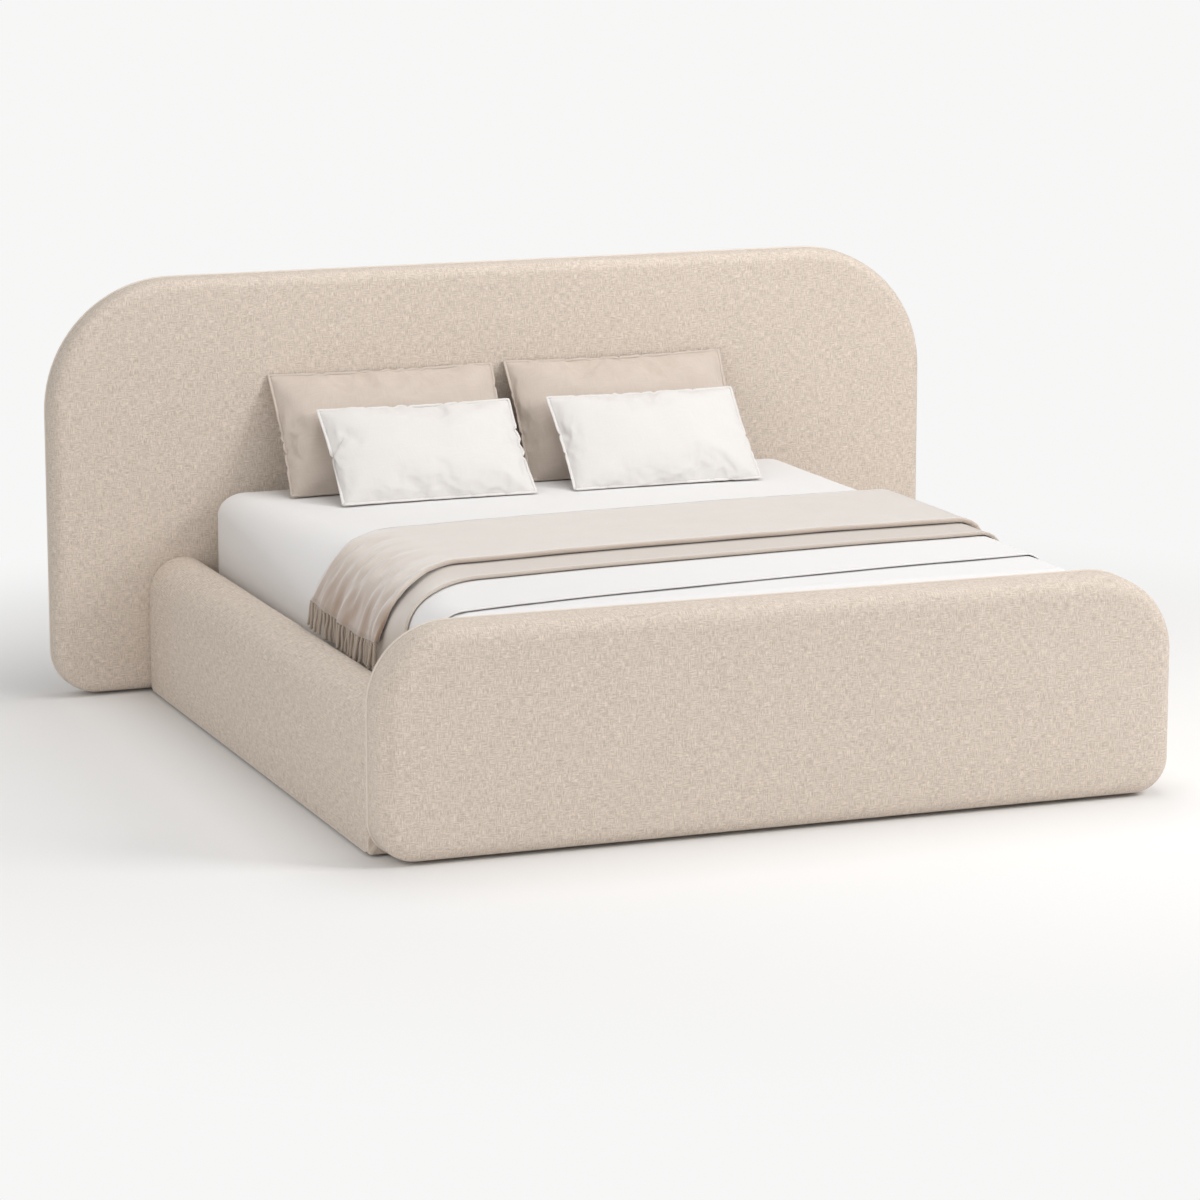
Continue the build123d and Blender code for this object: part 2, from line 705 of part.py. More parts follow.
top_sheet_lift = layer_gap
coverlet_lift = top_sheet_lift + top_sheet_thickness + layer_gap
throw_lift = coverlet_lift + coverlet_thickness + layer_gap
save("top_sheet", draped(top_sheet_lift, top_sheet_thickness,
                         foot_front + top_sheet_foot_edge, foot_front + top_sheet_head_edge,
                         layer_hang))
save("coverlet", draped(coverlet_lift, coverlet_thickness,
                        foot_front + coverlet_foot_edge, foot_front + coverlet_head_edge,
                        layer_hang))

throw_ends = (foot_front + throw_foot_edge, foot_front + throw_head_edge)
throw_length = throw_ends[1] - throw_ends[0]
throw_cloth = draped(throw_lift, throw_thickness, *throw_ends, throw_hang)
fold_pitch = throw_length / throw_fold_count
fold_face = mattress_width / 2 + throw_lift + throw_thickness
fold_top = mattress_top - mattress_edge_radius
for side in (-1, 1):
    for index in range(throw_fold_count):
        middle = throw_ends[0] + fold_pitch * (index + 0.5)
        half = fold_pitch / 4
        ridge = ThreePointArc((fold_face, middle - half), (fold_face + throw_fold_depth, middle),
                              (fold_face, middle + half))
        closing = Line((fold_face, middle + half), (fold_face, middle - half))
        fold = extrude(make_face(Curve([ridge, closing])), amount=fold_top - (mattress_top - throw_hang))
        fold = Pos(0, 0, mattress_top - throw_hang) * fold
        throw_cloth += fold if side > 0 else mirror(fold, Plane.YZ)
save("throw", throw_cloth)

strands = []
strand_pitch = throw_length / fringe_count
strand_root = mattress_width / 2 + throw_lift + throw_thickness / 2
hem_z = mattress_top - throw_hang
for side in (-1, 1):
    for index in range(fringe_count):
        y = throw_ends[0] + strand_pitch * (index + 0.5)
        root = Pos(side * strand_root, y, hem_z) * Rectangle(fringe_strand, fringe_strand)
        tip = Pos(side * (strand_root + fringe_spread), y, hem_z - fringe_length) * Rectangle(
            fringe_strand / 2, fringe_strand / 2)
        strands.append(loft([root.face(), tip.face()], ruled=True))
save("throw_fringe", *strands)


# Pillows and cushions
def cushion_form(width, height, thickness, inset):
    """Crowned cushion, flat in X and Y, whose sides pull in between its corners."""
    sections = []
    seam = cushion_seam / 2 - inset / 2
    for share in station_shares:
        swell = (1 - abs(share) ** swell_power) ** swell_root
        half_height = height / 2 - inset - height * side_draw_share * (1 - share * share)
        crown = seam + cushion_seam / 2 + (thickness / 2 - inset - cushion_seam) * swell
        upper = ThreePointArc((-half_height, seam), (0, crown), (half_height, seam))
        lower = ThreePointArc((half_height, -seam), (0, -crown), (-half_height, -seam))
        joins = [Line((half_height, seam), (half_height, -seam)),
                 Line((-half_height, -seam), (-half_height, seam))]
        plane = Plane(origin=(share * (width / 2 - inset), 0, 0), x_dir=(0, 1, 0), z_dir=(1, 0, 0))
        sections.append(make_face(plane * Curve([upper, joins[0], lower, joins[1]])).face())
    return loft(sections)


def leaning(solid, lean):
    """Stand a cushion up on its long side and lean it back by lean degrees."""
    return Rot(90 - lean, 0, 0) * solid


def seat_against(solid, target):
    """Move a cushion back until it nearly touches the target, and say how far it went."""
    near = solid.bounding_box()
    far = target.bounding_box()
    low, high = 0.0, far.max.Y - near.min.Y
    for _ in range(seat_steps):
        middle = (low + high) / 2
        moved = Pos(0, middle, 0) * solid
        if moved.distance_to(target) > rest_gap:
            low = middle
        else:
            high = middle
    return low


bed_top = mattress_top + rest_gap
for name, back_x, front_x in (
    ("left", pillow_left_x, cushion_left_x),
    ("right", pillow_right_x, cushion_right_x),
):
    sizes = (pillow_width, pillow_height, pillow_thickness)
    outer = leaning(cushion_form(*sizes, 0), pillow_lean)
    hollow = leaning(cushion_form(*sizes, pillow_cover), pillow_lean)
    filling = leaning(cushion_form(*sizes, pillow_cover + layer_gap), pillow_lean)
    box = outer.bounding_box()
    place = Pos(back_x, head_front - rest_gap - box.max.Y, bed_top - box.min.Z)
    back_form = place * outer
    save(f"pillow_cover_{name}", place * (outer - hollow))
    save(f"pillow_filling_{name}", place * filling)

    sizes = (cushion_width, cushion_height, cushion_thickness)
    outer = leaning(cushion_form(*sizes, 0), cushion_lean)
    hollow = leaning(cushion_form(*sizes, pillow_cover), cushion_lean)
    filling = leaning(cushion_form(*sizes, pillow_cover + layer_gap), cushion_lean)
    box = outer.bounding_box()
    start_y = back_form.bounding_box().min.Y - box.max.Y - cushion_thickness
    start = Pos(front_x, start_y, bed_top - box.min.Z)
    place = Pos(0, seat_against(start * outer, back_form), 0) * start
    save(f"cushion_cover_{name}", place * (outer - hollow))
    save(f"cushion_filling_{name}", place * filling)
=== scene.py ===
"""Dress an upholstered box spring bed: covers, mattress, bedding, fringed throw and pillows.

Lengths are in metres. X runs across the bed, +Y towards the headboard and +Z up.
"""

import json
import logging
import math
import random
from collections.abc import Callable
from dataclasses import dataclass, field, replace
from enum import Enum
from functools import cache
from typing import ClassVar

import bmesh
import bpy
from mathutils import Matrix, Vector, noise


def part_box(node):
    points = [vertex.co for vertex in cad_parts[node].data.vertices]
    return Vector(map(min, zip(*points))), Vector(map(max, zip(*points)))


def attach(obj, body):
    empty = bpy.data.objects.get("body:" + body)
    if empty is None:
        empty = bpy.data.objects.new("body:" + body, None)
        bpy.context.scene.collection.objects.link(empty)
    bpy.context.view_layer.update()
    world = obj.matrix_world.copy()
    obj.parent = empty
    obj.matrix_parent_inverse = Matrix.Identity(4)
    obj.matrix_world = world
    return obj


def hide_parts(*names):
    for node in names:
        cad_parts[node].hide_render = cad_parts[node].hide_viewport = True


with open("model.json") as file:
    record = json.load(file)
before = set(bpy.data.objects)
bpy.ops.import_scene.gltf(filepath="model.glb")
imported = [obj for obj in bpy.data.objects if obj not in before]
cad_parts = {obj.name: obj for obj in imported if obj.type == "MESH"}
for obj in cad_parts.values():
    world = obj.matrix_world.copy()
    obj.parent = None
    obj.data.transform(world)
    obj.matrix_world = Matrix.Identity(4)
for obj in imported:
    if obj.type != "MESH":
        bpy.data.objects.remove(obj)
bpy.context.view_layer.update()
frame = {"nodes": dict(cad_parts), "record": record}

log = logging.getLogger("bed")

Loop = list[Vector]
Pairs = list[tuple[float, float]]
Mesh = bpy.types.Mesh
Node = bpy.types.Node
Object = bpy.types.Object
Socket = bpy.types.NodeSocket

BED_FRAME = "bed_frame"
SEAM_DROP = 0.010
SEAM_LIFT = 0.0002
CENTRE_GAP = 0.004
LEAST_RADIUS = 0.004
WELD = 1e-6
STAPLE = {"pitch": 0.045, "length": 0.006, "width": 0.0007}
SWAY = 0.0018
SWAY_PER_METRE = 95.0
TWISTS = 4.5
STRAND_TURNS = (0.10, 0.03, 3.0)
STRAND_LENGTHS = (0.90, 1.05)


class Layout(Enum):
    """How a finish finds its place on a piece."""

    UNROLLED = "uv"
    SOLID = "object"


class Grain(Enum):
    """Direction that wood grain runs in, as a stretch along X, Y and Z."""

    ACROSS = (3.0, 60.0, 60.0)
    UPRIGHT = (60.0, 60.0, 3.0)


class Tree:
    """A node tree with short calls to add nodes."""

    prefix = "ShaderNode"
    tree: bpy.types.NodeTree

    def add(self, kind: str, inputs: dict | None = None, **settings) -> Node:
        """Add one node.

        Args:
            kind: the node's type, with or without the tree's usual prefix.
            inputs: values, sockets, or nodes for their first output, by input name or number.
            settings: properties of the node itself.

        Returns:
            The new node.
        """
        node = self.tree.nodes.new(kind if "Node" in kind else self.prefix + kind)
        for key, value in settings.items():
            setattr(node, key, value)
        for key, value in (inputs or {}).items():
            if isinstance(value, Node):
                value = value.outputs[0]
            if isinstance(value, Socket):
                self.tree.links.new(value, node.inputs[key])
            else:
                node.inputs[key].default_value = value
        return node

    def calc(self, operation: str, *values) -> Node:
        """Add a maths node that works on values, sockets or nodes."""
        return self.add("ShaderNodeMath", dict(enumerate(values)), operation=operation)


class Graph(Tree):
    """The shader tree of a new material or world."""

    def __init__(self, owner: bpy.types.ID) -> None:
        """Start an empty tree in a material or world."""
        owner.use_nodes = True
        self.owner, self.tree = owner, owner.node_tree
        self.tree.nodes.clear()

    def place(self, layout: Layout) -> Socket:
        """Return the coordinates that a pattern follows."""
        if layout is Layout.UNROLLED:
            return self.add("UVMap", uv_map="unrolled").outputs[0]
        return self.add("TexCoord").outputs["Object"]

    def cloud(self, place: Socket, stretch: tuple, detail: float, bend: float = 0.0) -> Socket:
        """Return noise whose coordinates are stretched by three factors."""
        mapped = self.add("Mapping", {"Vector": place, "Scale": stretch})
        return self.add("TexNoise", {
            "Vector": mapped, "Scale": 1.0, "Detail": detail, "Distortion": bend}).outputs["Fac"]

    def spread(
        self, value: Socket, low: float, high: float, to_low: float = 0.0, to_high: float = 1.0,
        interpolation: str = "LINEAR",
    ) -> Node:
        """Map the range from low to high to another range."""
        return self.add("MapRange", {
            "Value": value, "From Min": low, "From Max": high, "To Min": to_low,
            "To Max": to_high}, interpolation_type=interpolation)

    def blend_of(self, parts: list[tuple]) -> Node:
        """Add up pairs of a pattern and its weight, so that the mean stays at 0.5."""
        result = 0.5 - sum(weight for _, weight in parts) * 0.5
        for socket, weight in parts:
            result = self.calc("ADD", self.calc("MULTIPLY", socket, weight), result)
        return result

    def tinted(self, share: Node, finish: "Finish") -> Socket:
        """Return a colour between the two tints of a finish."""
        return self.add(
            "Mix", {"Factor": share, 6: (*finish.dark, 1.0), 7: (*finish.light, 1.0)},
            data_type="RGBA").outputs[2]

    def surface(
        self, colour: Socket, height: Node, relief: float, strength: float, **looks: float
    ) -> bpy.types.Material:
        """Return the material of a surface.

        Args:
            colour: the base colour.
            height: the pattern that stands out.
            relief: how far it stands out.
            strength: how clearly it shows.
            looks: the shader's other inputs, with underscores for spaces.

        Returns:
            The finished material.
        """
        bump = self.add("Bump", {"Height": height, "Distance": relief, "Strength": strength})
        others = {name.replace("_", " "): value for name, value in looks.items()}
        return self.end("Material", self.add(
            "BsdfPrincipled", {"Base Color": colour, "Normal": bump, **others}))

    def end(self, kind: str, shader: Node) -> bpy.types.ID:
        """Join a shader to the output and return the material or world."""
        self.add("Output" + kind, {"Surface": shader})
        return self.owner


@dataclass(frozen=True)
class Finish:
    """A procedural surface between two tints of one colour."""

    name: str
    dark: tuple
    light: tuple

    def graph(self) -> Graph:
        """Start the finish's material."""
        return Graph(bpy.data.materials.new(self.name))


@dataclass(frozen=True)
class ClothFinish(Finish):
    """A woven cloth with slubs, mottling, crinkle and weave."""

    roughness: float = 0.92
    sheen: float = 0.15
    sheen_roughness: float = 0.45
    slub: float = 0.5
    slub_width: float = 0.0028
    slub_length: float = 0.04
    mottle: float = 0.5
    mottle_size: float = 0.12
    crinkle: float = 0.0
    crinkle_pitch: float = 0.006
    weave_pitch: float = 0.0016
    relief: float = 0.0006
    # hung is a tint multiplied in below the heights of the span after it: painted shade where the
    # cloth hangs down the mattress's side.
    hung: tuple = ()
    painted_shade_span: tuple = (0.60, 0.50)
    layout: Layout = Layout.UNROLLED
    crinkle_tint: ClassVar[float] = 0.30
    crinkle_height: ClassVar[float] = 0.5
    thread_height: ClassVar[float] = 0.8
    yarn_height: ClassVar[float] = 0.14

    def material(self) -> bpy.types.Material:
        """Build the cloth's material and return it."""
        graph = self.graph()
        place = graph.place(self.layout)
        mottling = graph.cloud(place, (1 / self.mottle_size,) * 3, 2.5)
        crinkle = self.crinkled(graph, place, mottling)
        threads = self.threads(graph, place)
        colour = graph.tinted(graph.blend_of(
            [(threads, self.slub), (mottling, self.mottle),
             (crinkle, self.crinkle * self.crinkle_tint)]), self)
        # Paint shade where the cloth hangs down the mattress's side.
        if self.hung:
            colour = self.paint_hanging_shade(graph, colour)
        scale = math.pi / self.weave_pitch / 10
        yarns = [
            (graph.add("TexWave", {"Vector": place, "Scale": scale, "Distortion": 0.6,
                                   "Detail": 1.0, "Detail Scale": 2.0},
                       bands_direction=way).outputs["Fac"], self.yarn_height)
            for way in ("X", "Y")
        ]
        height = graph.blend_of(yarns + [(threads, self.thread_height),
                                         (crinkle, self.crinkle * self.crinkle_height)])
        return graph.surface(
            colour, height, self.relief, 1.0, Roughness=self.roughness, Sheen_Weight=self.sheen,
            Sheen_Roughness=self.sheen_roughness, Specular_IOR_Level=0.2)

    def paint_hanging_shade(self, graph: Graph, colour: Socket) -> Socket:
        """Multiply painted shade into the cloth where it hangs down the mattress's side, which
        gets less light than the top.
        """
        solid = graph.add("SeparateXYZ", {0: graph.place(Layout.SOLID)})
        fall = graph.spread(solid.outputs[2], *self.painted_shade_span, interpolation="SMOOTHSTEP")
        return graph.add("Mix", {"Factor": fall, 6: colour, 7: (*self.hung, 1.0)},
                         data_type="RGBA", blend_type="MULTIPLY").outputs[2]

    def threads(self, graph: Graph, place: Socket) -> Node:
        """Return thick threads that show mostly upright in some patches and level in others."""
        wide, long = 1 / self.slub_width, 1 / self.slub_length
        upright = graph.cloud(place, (wide, long, long), 1.5)
        level = graph.cloud(place, (long, wide, wide), 1.5)
        patch = graph.cloud(place, (1 / (self.slub_length * 1.1),) * 3, 1.0)
        share = graph.spread(patch, 0.40, 0.60, 0.2, 0.8)
        return graph.add("Mix", {"Factor": share, 2: upright, 3: level}, data_type="FLOAT")

    def crinkled(self, graph: Graph, place: Socket, patches: Socket) -> Node:
        """Return short wandering creases that come and go in patches."""
        waves = graph.cloud(place, (1 / self.crinkle_pitch,) * 3, 0.0, 0.8)
        share = graph.spread(patches, 0.35, 0.62, 0.35)
        away = graph.calc("ABSOLUTE", graph.calc("SUBTRACT", waves, 0.5))
        ridge = graph.spread(away, 0.0, 0.10, 0.6, -0.4)
        return graph.calc("MULTIPLY_ADD", ridge, share, 0.5)


@dataclass(frozen=True)
class WoodFinish(Finish):
    """Planed timber or plywood with a stretched grain."""

    grain: Grain
    roughness: float = 0.6

    def material(self) -> bpy.types.Material:
        """Build the wood's material and return it."""
        graph = self.graph()
        place = graph.place(Layout.SOLID)
        rings = graph.cloud(place, self.grain.value, 4.0, 0.8)
        fibre = graph.cloud(place, tuple(6 * v for v in self.grain.value), 2.0)
        tint = graph.blend_of([(rings, 1.5), (fibre, 0.5)])
        return graph.surface(
            graph.tinted(tint, self), tint, 0.0004, 0.6, Roughness=self.roughness)


@dataclass(frozen=True)
class HardFinish(Finish):
    """Painted steel, zinc plate, moulded plastic or foam, with fine mottling."""

    roughness: float
    metallic: float = 0.0
    grain_size: float = 0.004
    relief: float = 0.0001

    def material(self) -> bpy.types.Material:
        """Build the material and return it."""
        graph = self.graph()
        speckle = graph.cloud(graph.place(Layout.SOLID), (1 / self.grain_size,) * 3, 3.0)
        colour = graph.tinted(graph.blend_of([(speckle, 1.2)]), self)
        return graph.surface(colour, speckle, self.relief, 0.8, Roughness=self.roughness,
                             Metallic=self.metallic)


LINEN = ClothFinish(
    "oat_chenille", (0.48, 0.405, 0.335), (0.94, 0.83, 0.73), slub=1.80, mottle=0.20,
    slub_width=0.0027, slub_length=0.020, crinkle=0.95, crinkle_pitch=0.0066, relief=0.0012,
    sheen=0.1)
PIPING = ClothFinish(
    "oat_piping", (0.68, 0.605, 0.535), (0.80, 0.725, 0.655), slub=0.4, relief=0.0004,
    layout=Layout.SOLID)
SHEETING = ClothFinish(
    "white_percale", (0.775, 0.765, 0.76), (0.815, 0.805, 0.80), slub=0.3, mottle=0.3,
    relief=0.0002, weave_pitch=0.001, sheen=0.05)
COVERLET = ClothFinish(
    "sand_sateen", (0.51, 0.44, 0.375), (0.57, 0.50, 0.435), slub=0.3, mottle=0.4,
    relief=0.0002, weave_pitch=0.001, sheen=0.8)
# The throw's hung tint is painted shade on the part that hangs down the mattress's side.
THROW = ClothFinish(
    "rose_sand_twill", (0.49, 0.41, 0.345), (0.65, 0.565, 0.49), slub=0.6, mottle=0.7,
    slub_width=0.0045, slub_length=0.07, crinkle=0.6, crinkle_pitch=0.0055, relief=0.0006,
    sheen=1.0, sheen_roughness=0.55, hung=(0.62, 0.49, 0.40))
STRANDS = ClothFinish(
    "rose_sand_strands", (0.44, 0.365, 0.30), (0.58, 0.495, 0.42), slub=0.5, mottle=0.4,
    relief=0.0003, sheen=0.2, layout=Layout.SOLID)
TAUPE = ClothFinish(
    "taupe_linen", (0.515, 0.435, 0.37), (0.67, 0.59, 0.525), slub=0.7, mottle=0.5,
    slub_width=0.0042, slub_length=0.035, relief=0.0006, sheen=0.3)
WHITE_LINEN = ClothFinish(
    "white_linen", (0.705, 0.68, 0.66), (0.79, 0.767, 0.745), slub=0.6, mottle=0.5,
    slub_width=0.0042, slub_length=0.035, relief=0.0005, sheen=0.1)
BACKING = ClothFinish(
    "grey_backing", (0.22, 0.20, 0.185), (0.30, 0.28, 0.26), slub=0.2, mottle=0.3,
    crinkle=0.6, relief=0.0003, layout=Layout.SOLID)
TICKING = ClothFinish(
    "base_ticking", (0.60, 0.535, 0.465), (0.70, 0.63, 0.56), slub=0.6, relief=0.0004)
KNIT = ClothFinish(
    "white_knit", (0.82, 0.82, 0.81), (0.88, 0.88, 0.87), relief=0.0004, layout=Layout.SOLID)
POCKETS = ClothFinish(
    "spring_pockets", (0.78, 0.78, 0.76), (0.85, 0.85, 0.83), relief=0.0003,
    layout=Layout.SOLID)
FOAM = HardFinish("cut_foam", (0.80, 0.74, 0.58), (0.88, 0.83, 0.68), 0.9, grain_size=0.002)
FIBRE = HardFinish("cushion_fibre", (0.84, 0.84, 0.82), (0.90, 0.90, 0.88), 0.95)
PINE = WoodFinish("planed_pine", (0.55, 0.38, 0.21), (0.70, 0.52, 0.32), Grain.ACROSS)
PLYWOOD = WoodFinish("birch_ply", (0.55, 0.40, 0.24), (0.66, 0.50, 0.33), Grain.UPRIGHT)
BLACK_STEEL = HardFinish("black_powder_coat", (0.02, 0.02, 0.02), (0.04, 0.04, 0.04), 0.5)
ZINC = HardFinish("zinc_plate", (0.45, 0.46, 0.47), (0.62, 0.63, 0.64), 0.35, 1.0)
FELT = HardFinish("glide_moulding", (0.04, 0.037, 0.034), (0.07, 0.066, 0.06), 0.85)

CAD_FINISHES = {
    "upholstery": LINEN, "back_cloth": BACKING, "upholstery_foam": FOAM, "timber": PINE,
    "plywood": PLYWOOD, "black_steel": BLACK_STEEL, "zinc_steel": ZINC, "glide_felt": FELT,
    "spring_box_ticking": TICKING, "spring_pockets": POCKETS, "seat_foam": FOAM,
    "mattress_ticking": KNIT, "white_cotton": SHEETING, "coverlet_cloth": COVERLET,
    "throw_wool": THROW, "taupe_linen": TAUPE, "white_linen": WHITE_LINEN,
    "cushion_fibre": FIBRE,
}


@cache
def material_of(finish: Finish) -> bpy.types.Material:
    """Return the one material of a finish."""
    return finish.material()


def box(node: str) -> tuple[Vector, Vector]:
    """Return the low and the high corner of a CAD node."""
    low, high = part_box(node)
    return Vector(low), Vector(high)


def smooth_step(value: float) -> float:
    """Return value clamped to 0..1 and eased at both ends."""
    value = min(max(value, 0.0), 1.0)
    return value * value * (3 - 2 * value)


def ripple(place: Vector, size: float, seed: float) -> float:
    """Return smooth noise from about -1 to 1 with the given feature size."""
    return noise.noise(place / size + Vector((seed, seed * 1.7, -seed)))


def ripples(place: Vector, seed: float, *waves: tuple) -> float:
    """Return the sum of ripples, each given as its height, its size and its step from seed."""
    return sum(height * ripple(place, size, seed + step) for height, size, step in waves)


def arc(cx: float, cy: float, radius: float, start: float, stop: float, steps: int) -> Pairs:
    """Return points of an arc from start to stop degrees."""
    angles = [math.radians(start + (stop - start) * step / steps) for step in range(steps + 1)]
    return [(cx + radius * math.cos(a), cy + radius * math.sin(a)) for a in angles]


def gap_steps(start: float, stop: float, count: int) -> list[float]:
    """Return count values after start, up to and with stop, evenly spaced."""
    return [start + (stop - start) * step / count for step in range(1, count + 1)]


def lengths_past(line: Pairs, counts: Callable[[tuple, tuple], bool]) -> list[float]:
    """Return the length from each point of a line to its end, over the steps that count."""
    walked = [0.0] * len(line)
    for index in range(len(line) - 2, -1, -1):
        here, there = line[index], line[index + 1]
        walked[index] = walked[index + 1] + (
            math.dist(here, there) if counts(here, there) else 0.0)
    return walked


def unroll(spots: list[tuple], base: list[tuple], past: float) -> Pairs:
    """Return a ring's UV pairs, which go on past the face's rim by the length walked."""
    pairs = [(home[0] + home[2] * past, home[1] + home[3] * past) if past > 0 else spot[:2]
             for spot, home in zip(spots, base)]
    return pairs + pairs[:1]


def add_object(name: str, data: bpy.types.ID) -> Object:
    """Put a new object in the scene and return it."""
    thing = bpy.data.objects.new(name, data)
    bpy.context.scene.collection.objects.link(thing)
    return thing


def evaluated_mesh(thing: Object) -> Mesh:
    """Return a new mesh with the object's modifiers applied."""
    graph = bpy.context.evaluated_depsgraph_get()
    return bpy.data.meshes.new_from_object(thing.evaluated_get(graph))


def add_uv(mesh: Mesh, corner_uvs: Pairs) -> None:
    """Store one UV pair for each face corner under the name unrolled."""
    layer = mesh.uv_layers.new(name="unrolled")
    layer.data.foreach_set("uv", [value for pair in corner_uvs for value in pair])


def tell_outwards(mesh: Mesh, weld: float = 0.0) -> None:
    """Turn a closed mesh's faces outwards, after joining the points that lie within weld."""
    shell = bmesh.new()
    shell.from_mesh(mesh)
    if weld:
        bmesh.ops.remove_doubles(shell, verts=shell.verts, dist=weld)
    bmesh.ops.recalc_face_normals(shell, faces=shell.faces)
    shell.to_mesh(mesh)
    shell.free()


def loft(
    name: str, rings: list[Loop], uvs: list[Pairs], close: bool = True, caps: bool = True
) -> Object:
    """Join loops of points into a smooth mesh.

    Args:
        name: the object's name.
        rings: loops with the same number of points.
        uvs: for each ring, a UV pair for each point and one more for the closing point.
        close: whether each loop is closed.
        caps: whether the first and the last ring get a face.

    Returns:
        The new object, with faces outwards where it has caps.
    """
    count = len(rings[0])
    faces: list[tuple] = []
    corners: Pairs = []
    for row in range(len(rings) - 1):
        here, there = row * count, (row + 1) * count
        for col in range(count if close else count - 1):
            nxt = (col + 1) % count
            faces.append((here + col, here + nxt, there + nxt, there + col))
            corners += [*uvs[row][col:col + 2], *uvs[row + 1][col:col + 2][::-1]]
    if caps:
        last = (len(rings) - 1) * count
        faces += [tuple(reversed(range(count))), tuple(range(last, last + count))]
        corners += uvs[0][:count][::-1] + uvs[-1][:count]
    mesh = bpy.data.meshes.new(name)
    mesh.from_pydata([tuple(point) for ring in rings for point in ring], [], faces)
    add_uv(mesh, corners)
    if caps:
        tell_outwards(mesh)
    mesh.shade_smooth()
    return add_object(name, mesh)


def dress(piece: Object, finish: Finish, slot: str, body: str = BED_FRAME) -> Object:
    """Give a piece its material and its body."""
    piece.data.materials.clear()
    piece.data.materials.append(material_of(finish))
    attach(piece, body)
    log.info("%s: %d faces on %s", piece.name, len(piece.data.polygons), body)
    return piece


class Repeater(Tree):
    """A Geometry Nodes tree that turns a guide curve into a mesh."""

    prefix = "GeometryNode"

    def __init__(self, name: str, sizes: dict[str, float]) -> None:
        """Make a tree with a geometry input and one named input for each size."""
        self.sizes = sizes
        self.tree = bpy.data.node_groups.new(name, "GeometryNodeTree")
        kinds = {"Geometry": "Geometry"}
        kinds |= {label: "Int" if isinstance(size, int) else "Float"
                  for label, size in sizes.items()}
        kinds["Finish"] = "Material"
        face = self.tree.interface
        for label, kind in kinds.items():
            face.new_socket(label, in_out="INPUT", socket_type="NodeSocket" + kind)
        face.new_socket("Geometry", in_out="OUTPUT", socket_type="NodeSocketGeometry")
        self.source = self.tree.nodes.new("NodeGroupInput")
        self.target = self.tree.nodes.new("NodeGroupOutput")

    def size(self, label: str) -> Socket:
        """Return the group's input called label."""
        return self.source.outputs[label]

    def end(self, geometry: Node) -> "Repeater":
        """Realize instances, shade them smooth, set the material and return the tree."""
        real = self.add("RealizeInstances", {0: geometry})
        soft = self.add("SetShadeSmooth", {0: real})
        done = self.add("SetMaterial", {"Geometry": soft, "Material": self.size("Finish")})
        self.tree.links.new(done.outputs[0], self.target.inputs[0])
        return self

    def make(self, name: str, guide: Object, finish: Finish) -> Object:
        """Run the tree on a guide and return the result as a plain mesh object."""
        modifier = guide.modifiers.new(name, "NODES")
        modifier.node_group = self.tree
        values = self.sizes | {"Finish": material_of(finish)}
        for item in self.tree.interface.items_tree:
            if item.in_out == "INPUT" and item.name in values:
                modifier[item.identifier] = values[item.name]
        mesh = evaluated_mesh(guide)
        mesh.name = name
        guide.modifiers.remove(modifier)
        bpy.data.objects.remove(guide)
        return add_object(name, mesh)

    def run(
        self, name: str, points: Loop, closed: bool, finish: Finish, slot: str,
        body: str = BED_FRAME,
    ) -> Object:
        """Run the tree along a line of points and return the dressed piece."""
        curve = bpy.data.curves.new(f"{name}_line", "CURVE")
        curve.dimensions = "3D"
        line = curve.splines.new("POLY")
        line.points.add(len(points) - 1)
        for spot, place in zip(line.points, points):
            spot.co = (*place, 1.0)
        line.use_cyclic_u = closed
        guide = add_object(f"{name}_line", curve)
        return dress(self.make(name, guide, finish), finish, slot, body)


def piping_tree(radius: float) -> Repeater:
    """Return a tree that runs a round cord along its guide."""
    tree = Repeater("piping", {"Radius": radius})
    profile = tree.add("CurvePrimitiveCircle", {"Resolution": 10, "Radius": tree.size("Radius")})
    return tree.end(tree.add("CurveToMesh", {"Curve": tree.source, "Profile Curve": profile}))


def stitch_tree(pitch: float, length: float, width: float) -> Repeater:
    """Return a tree that lays a row of stitches along its guide."""
    tree = Repeater("stitches", {"Pitch": pitch, "Length": length, "Width": width})
    points = tree.add("CurveToPoints", {"Curve": tree.source, "Length": tree.size("Pitch")},
                      mode="LENGTH")
    bead = tree.add("MeshUVSphere", {"Segments": 6, "Rings": 5, "Radius": 1.0})
    scale = tree.add("ShaderNodeCombineXYZ", {
        "X": tree.size("Width"), "Y": tree.size("Width"), "Z": tree.size("Length")})
    return tree.end(tree.add("InstanceOnPoints", {
        "Points": points, "Instance": bead, "Rotation": points.outputs["Rotation"],
        "Scale": scale}))


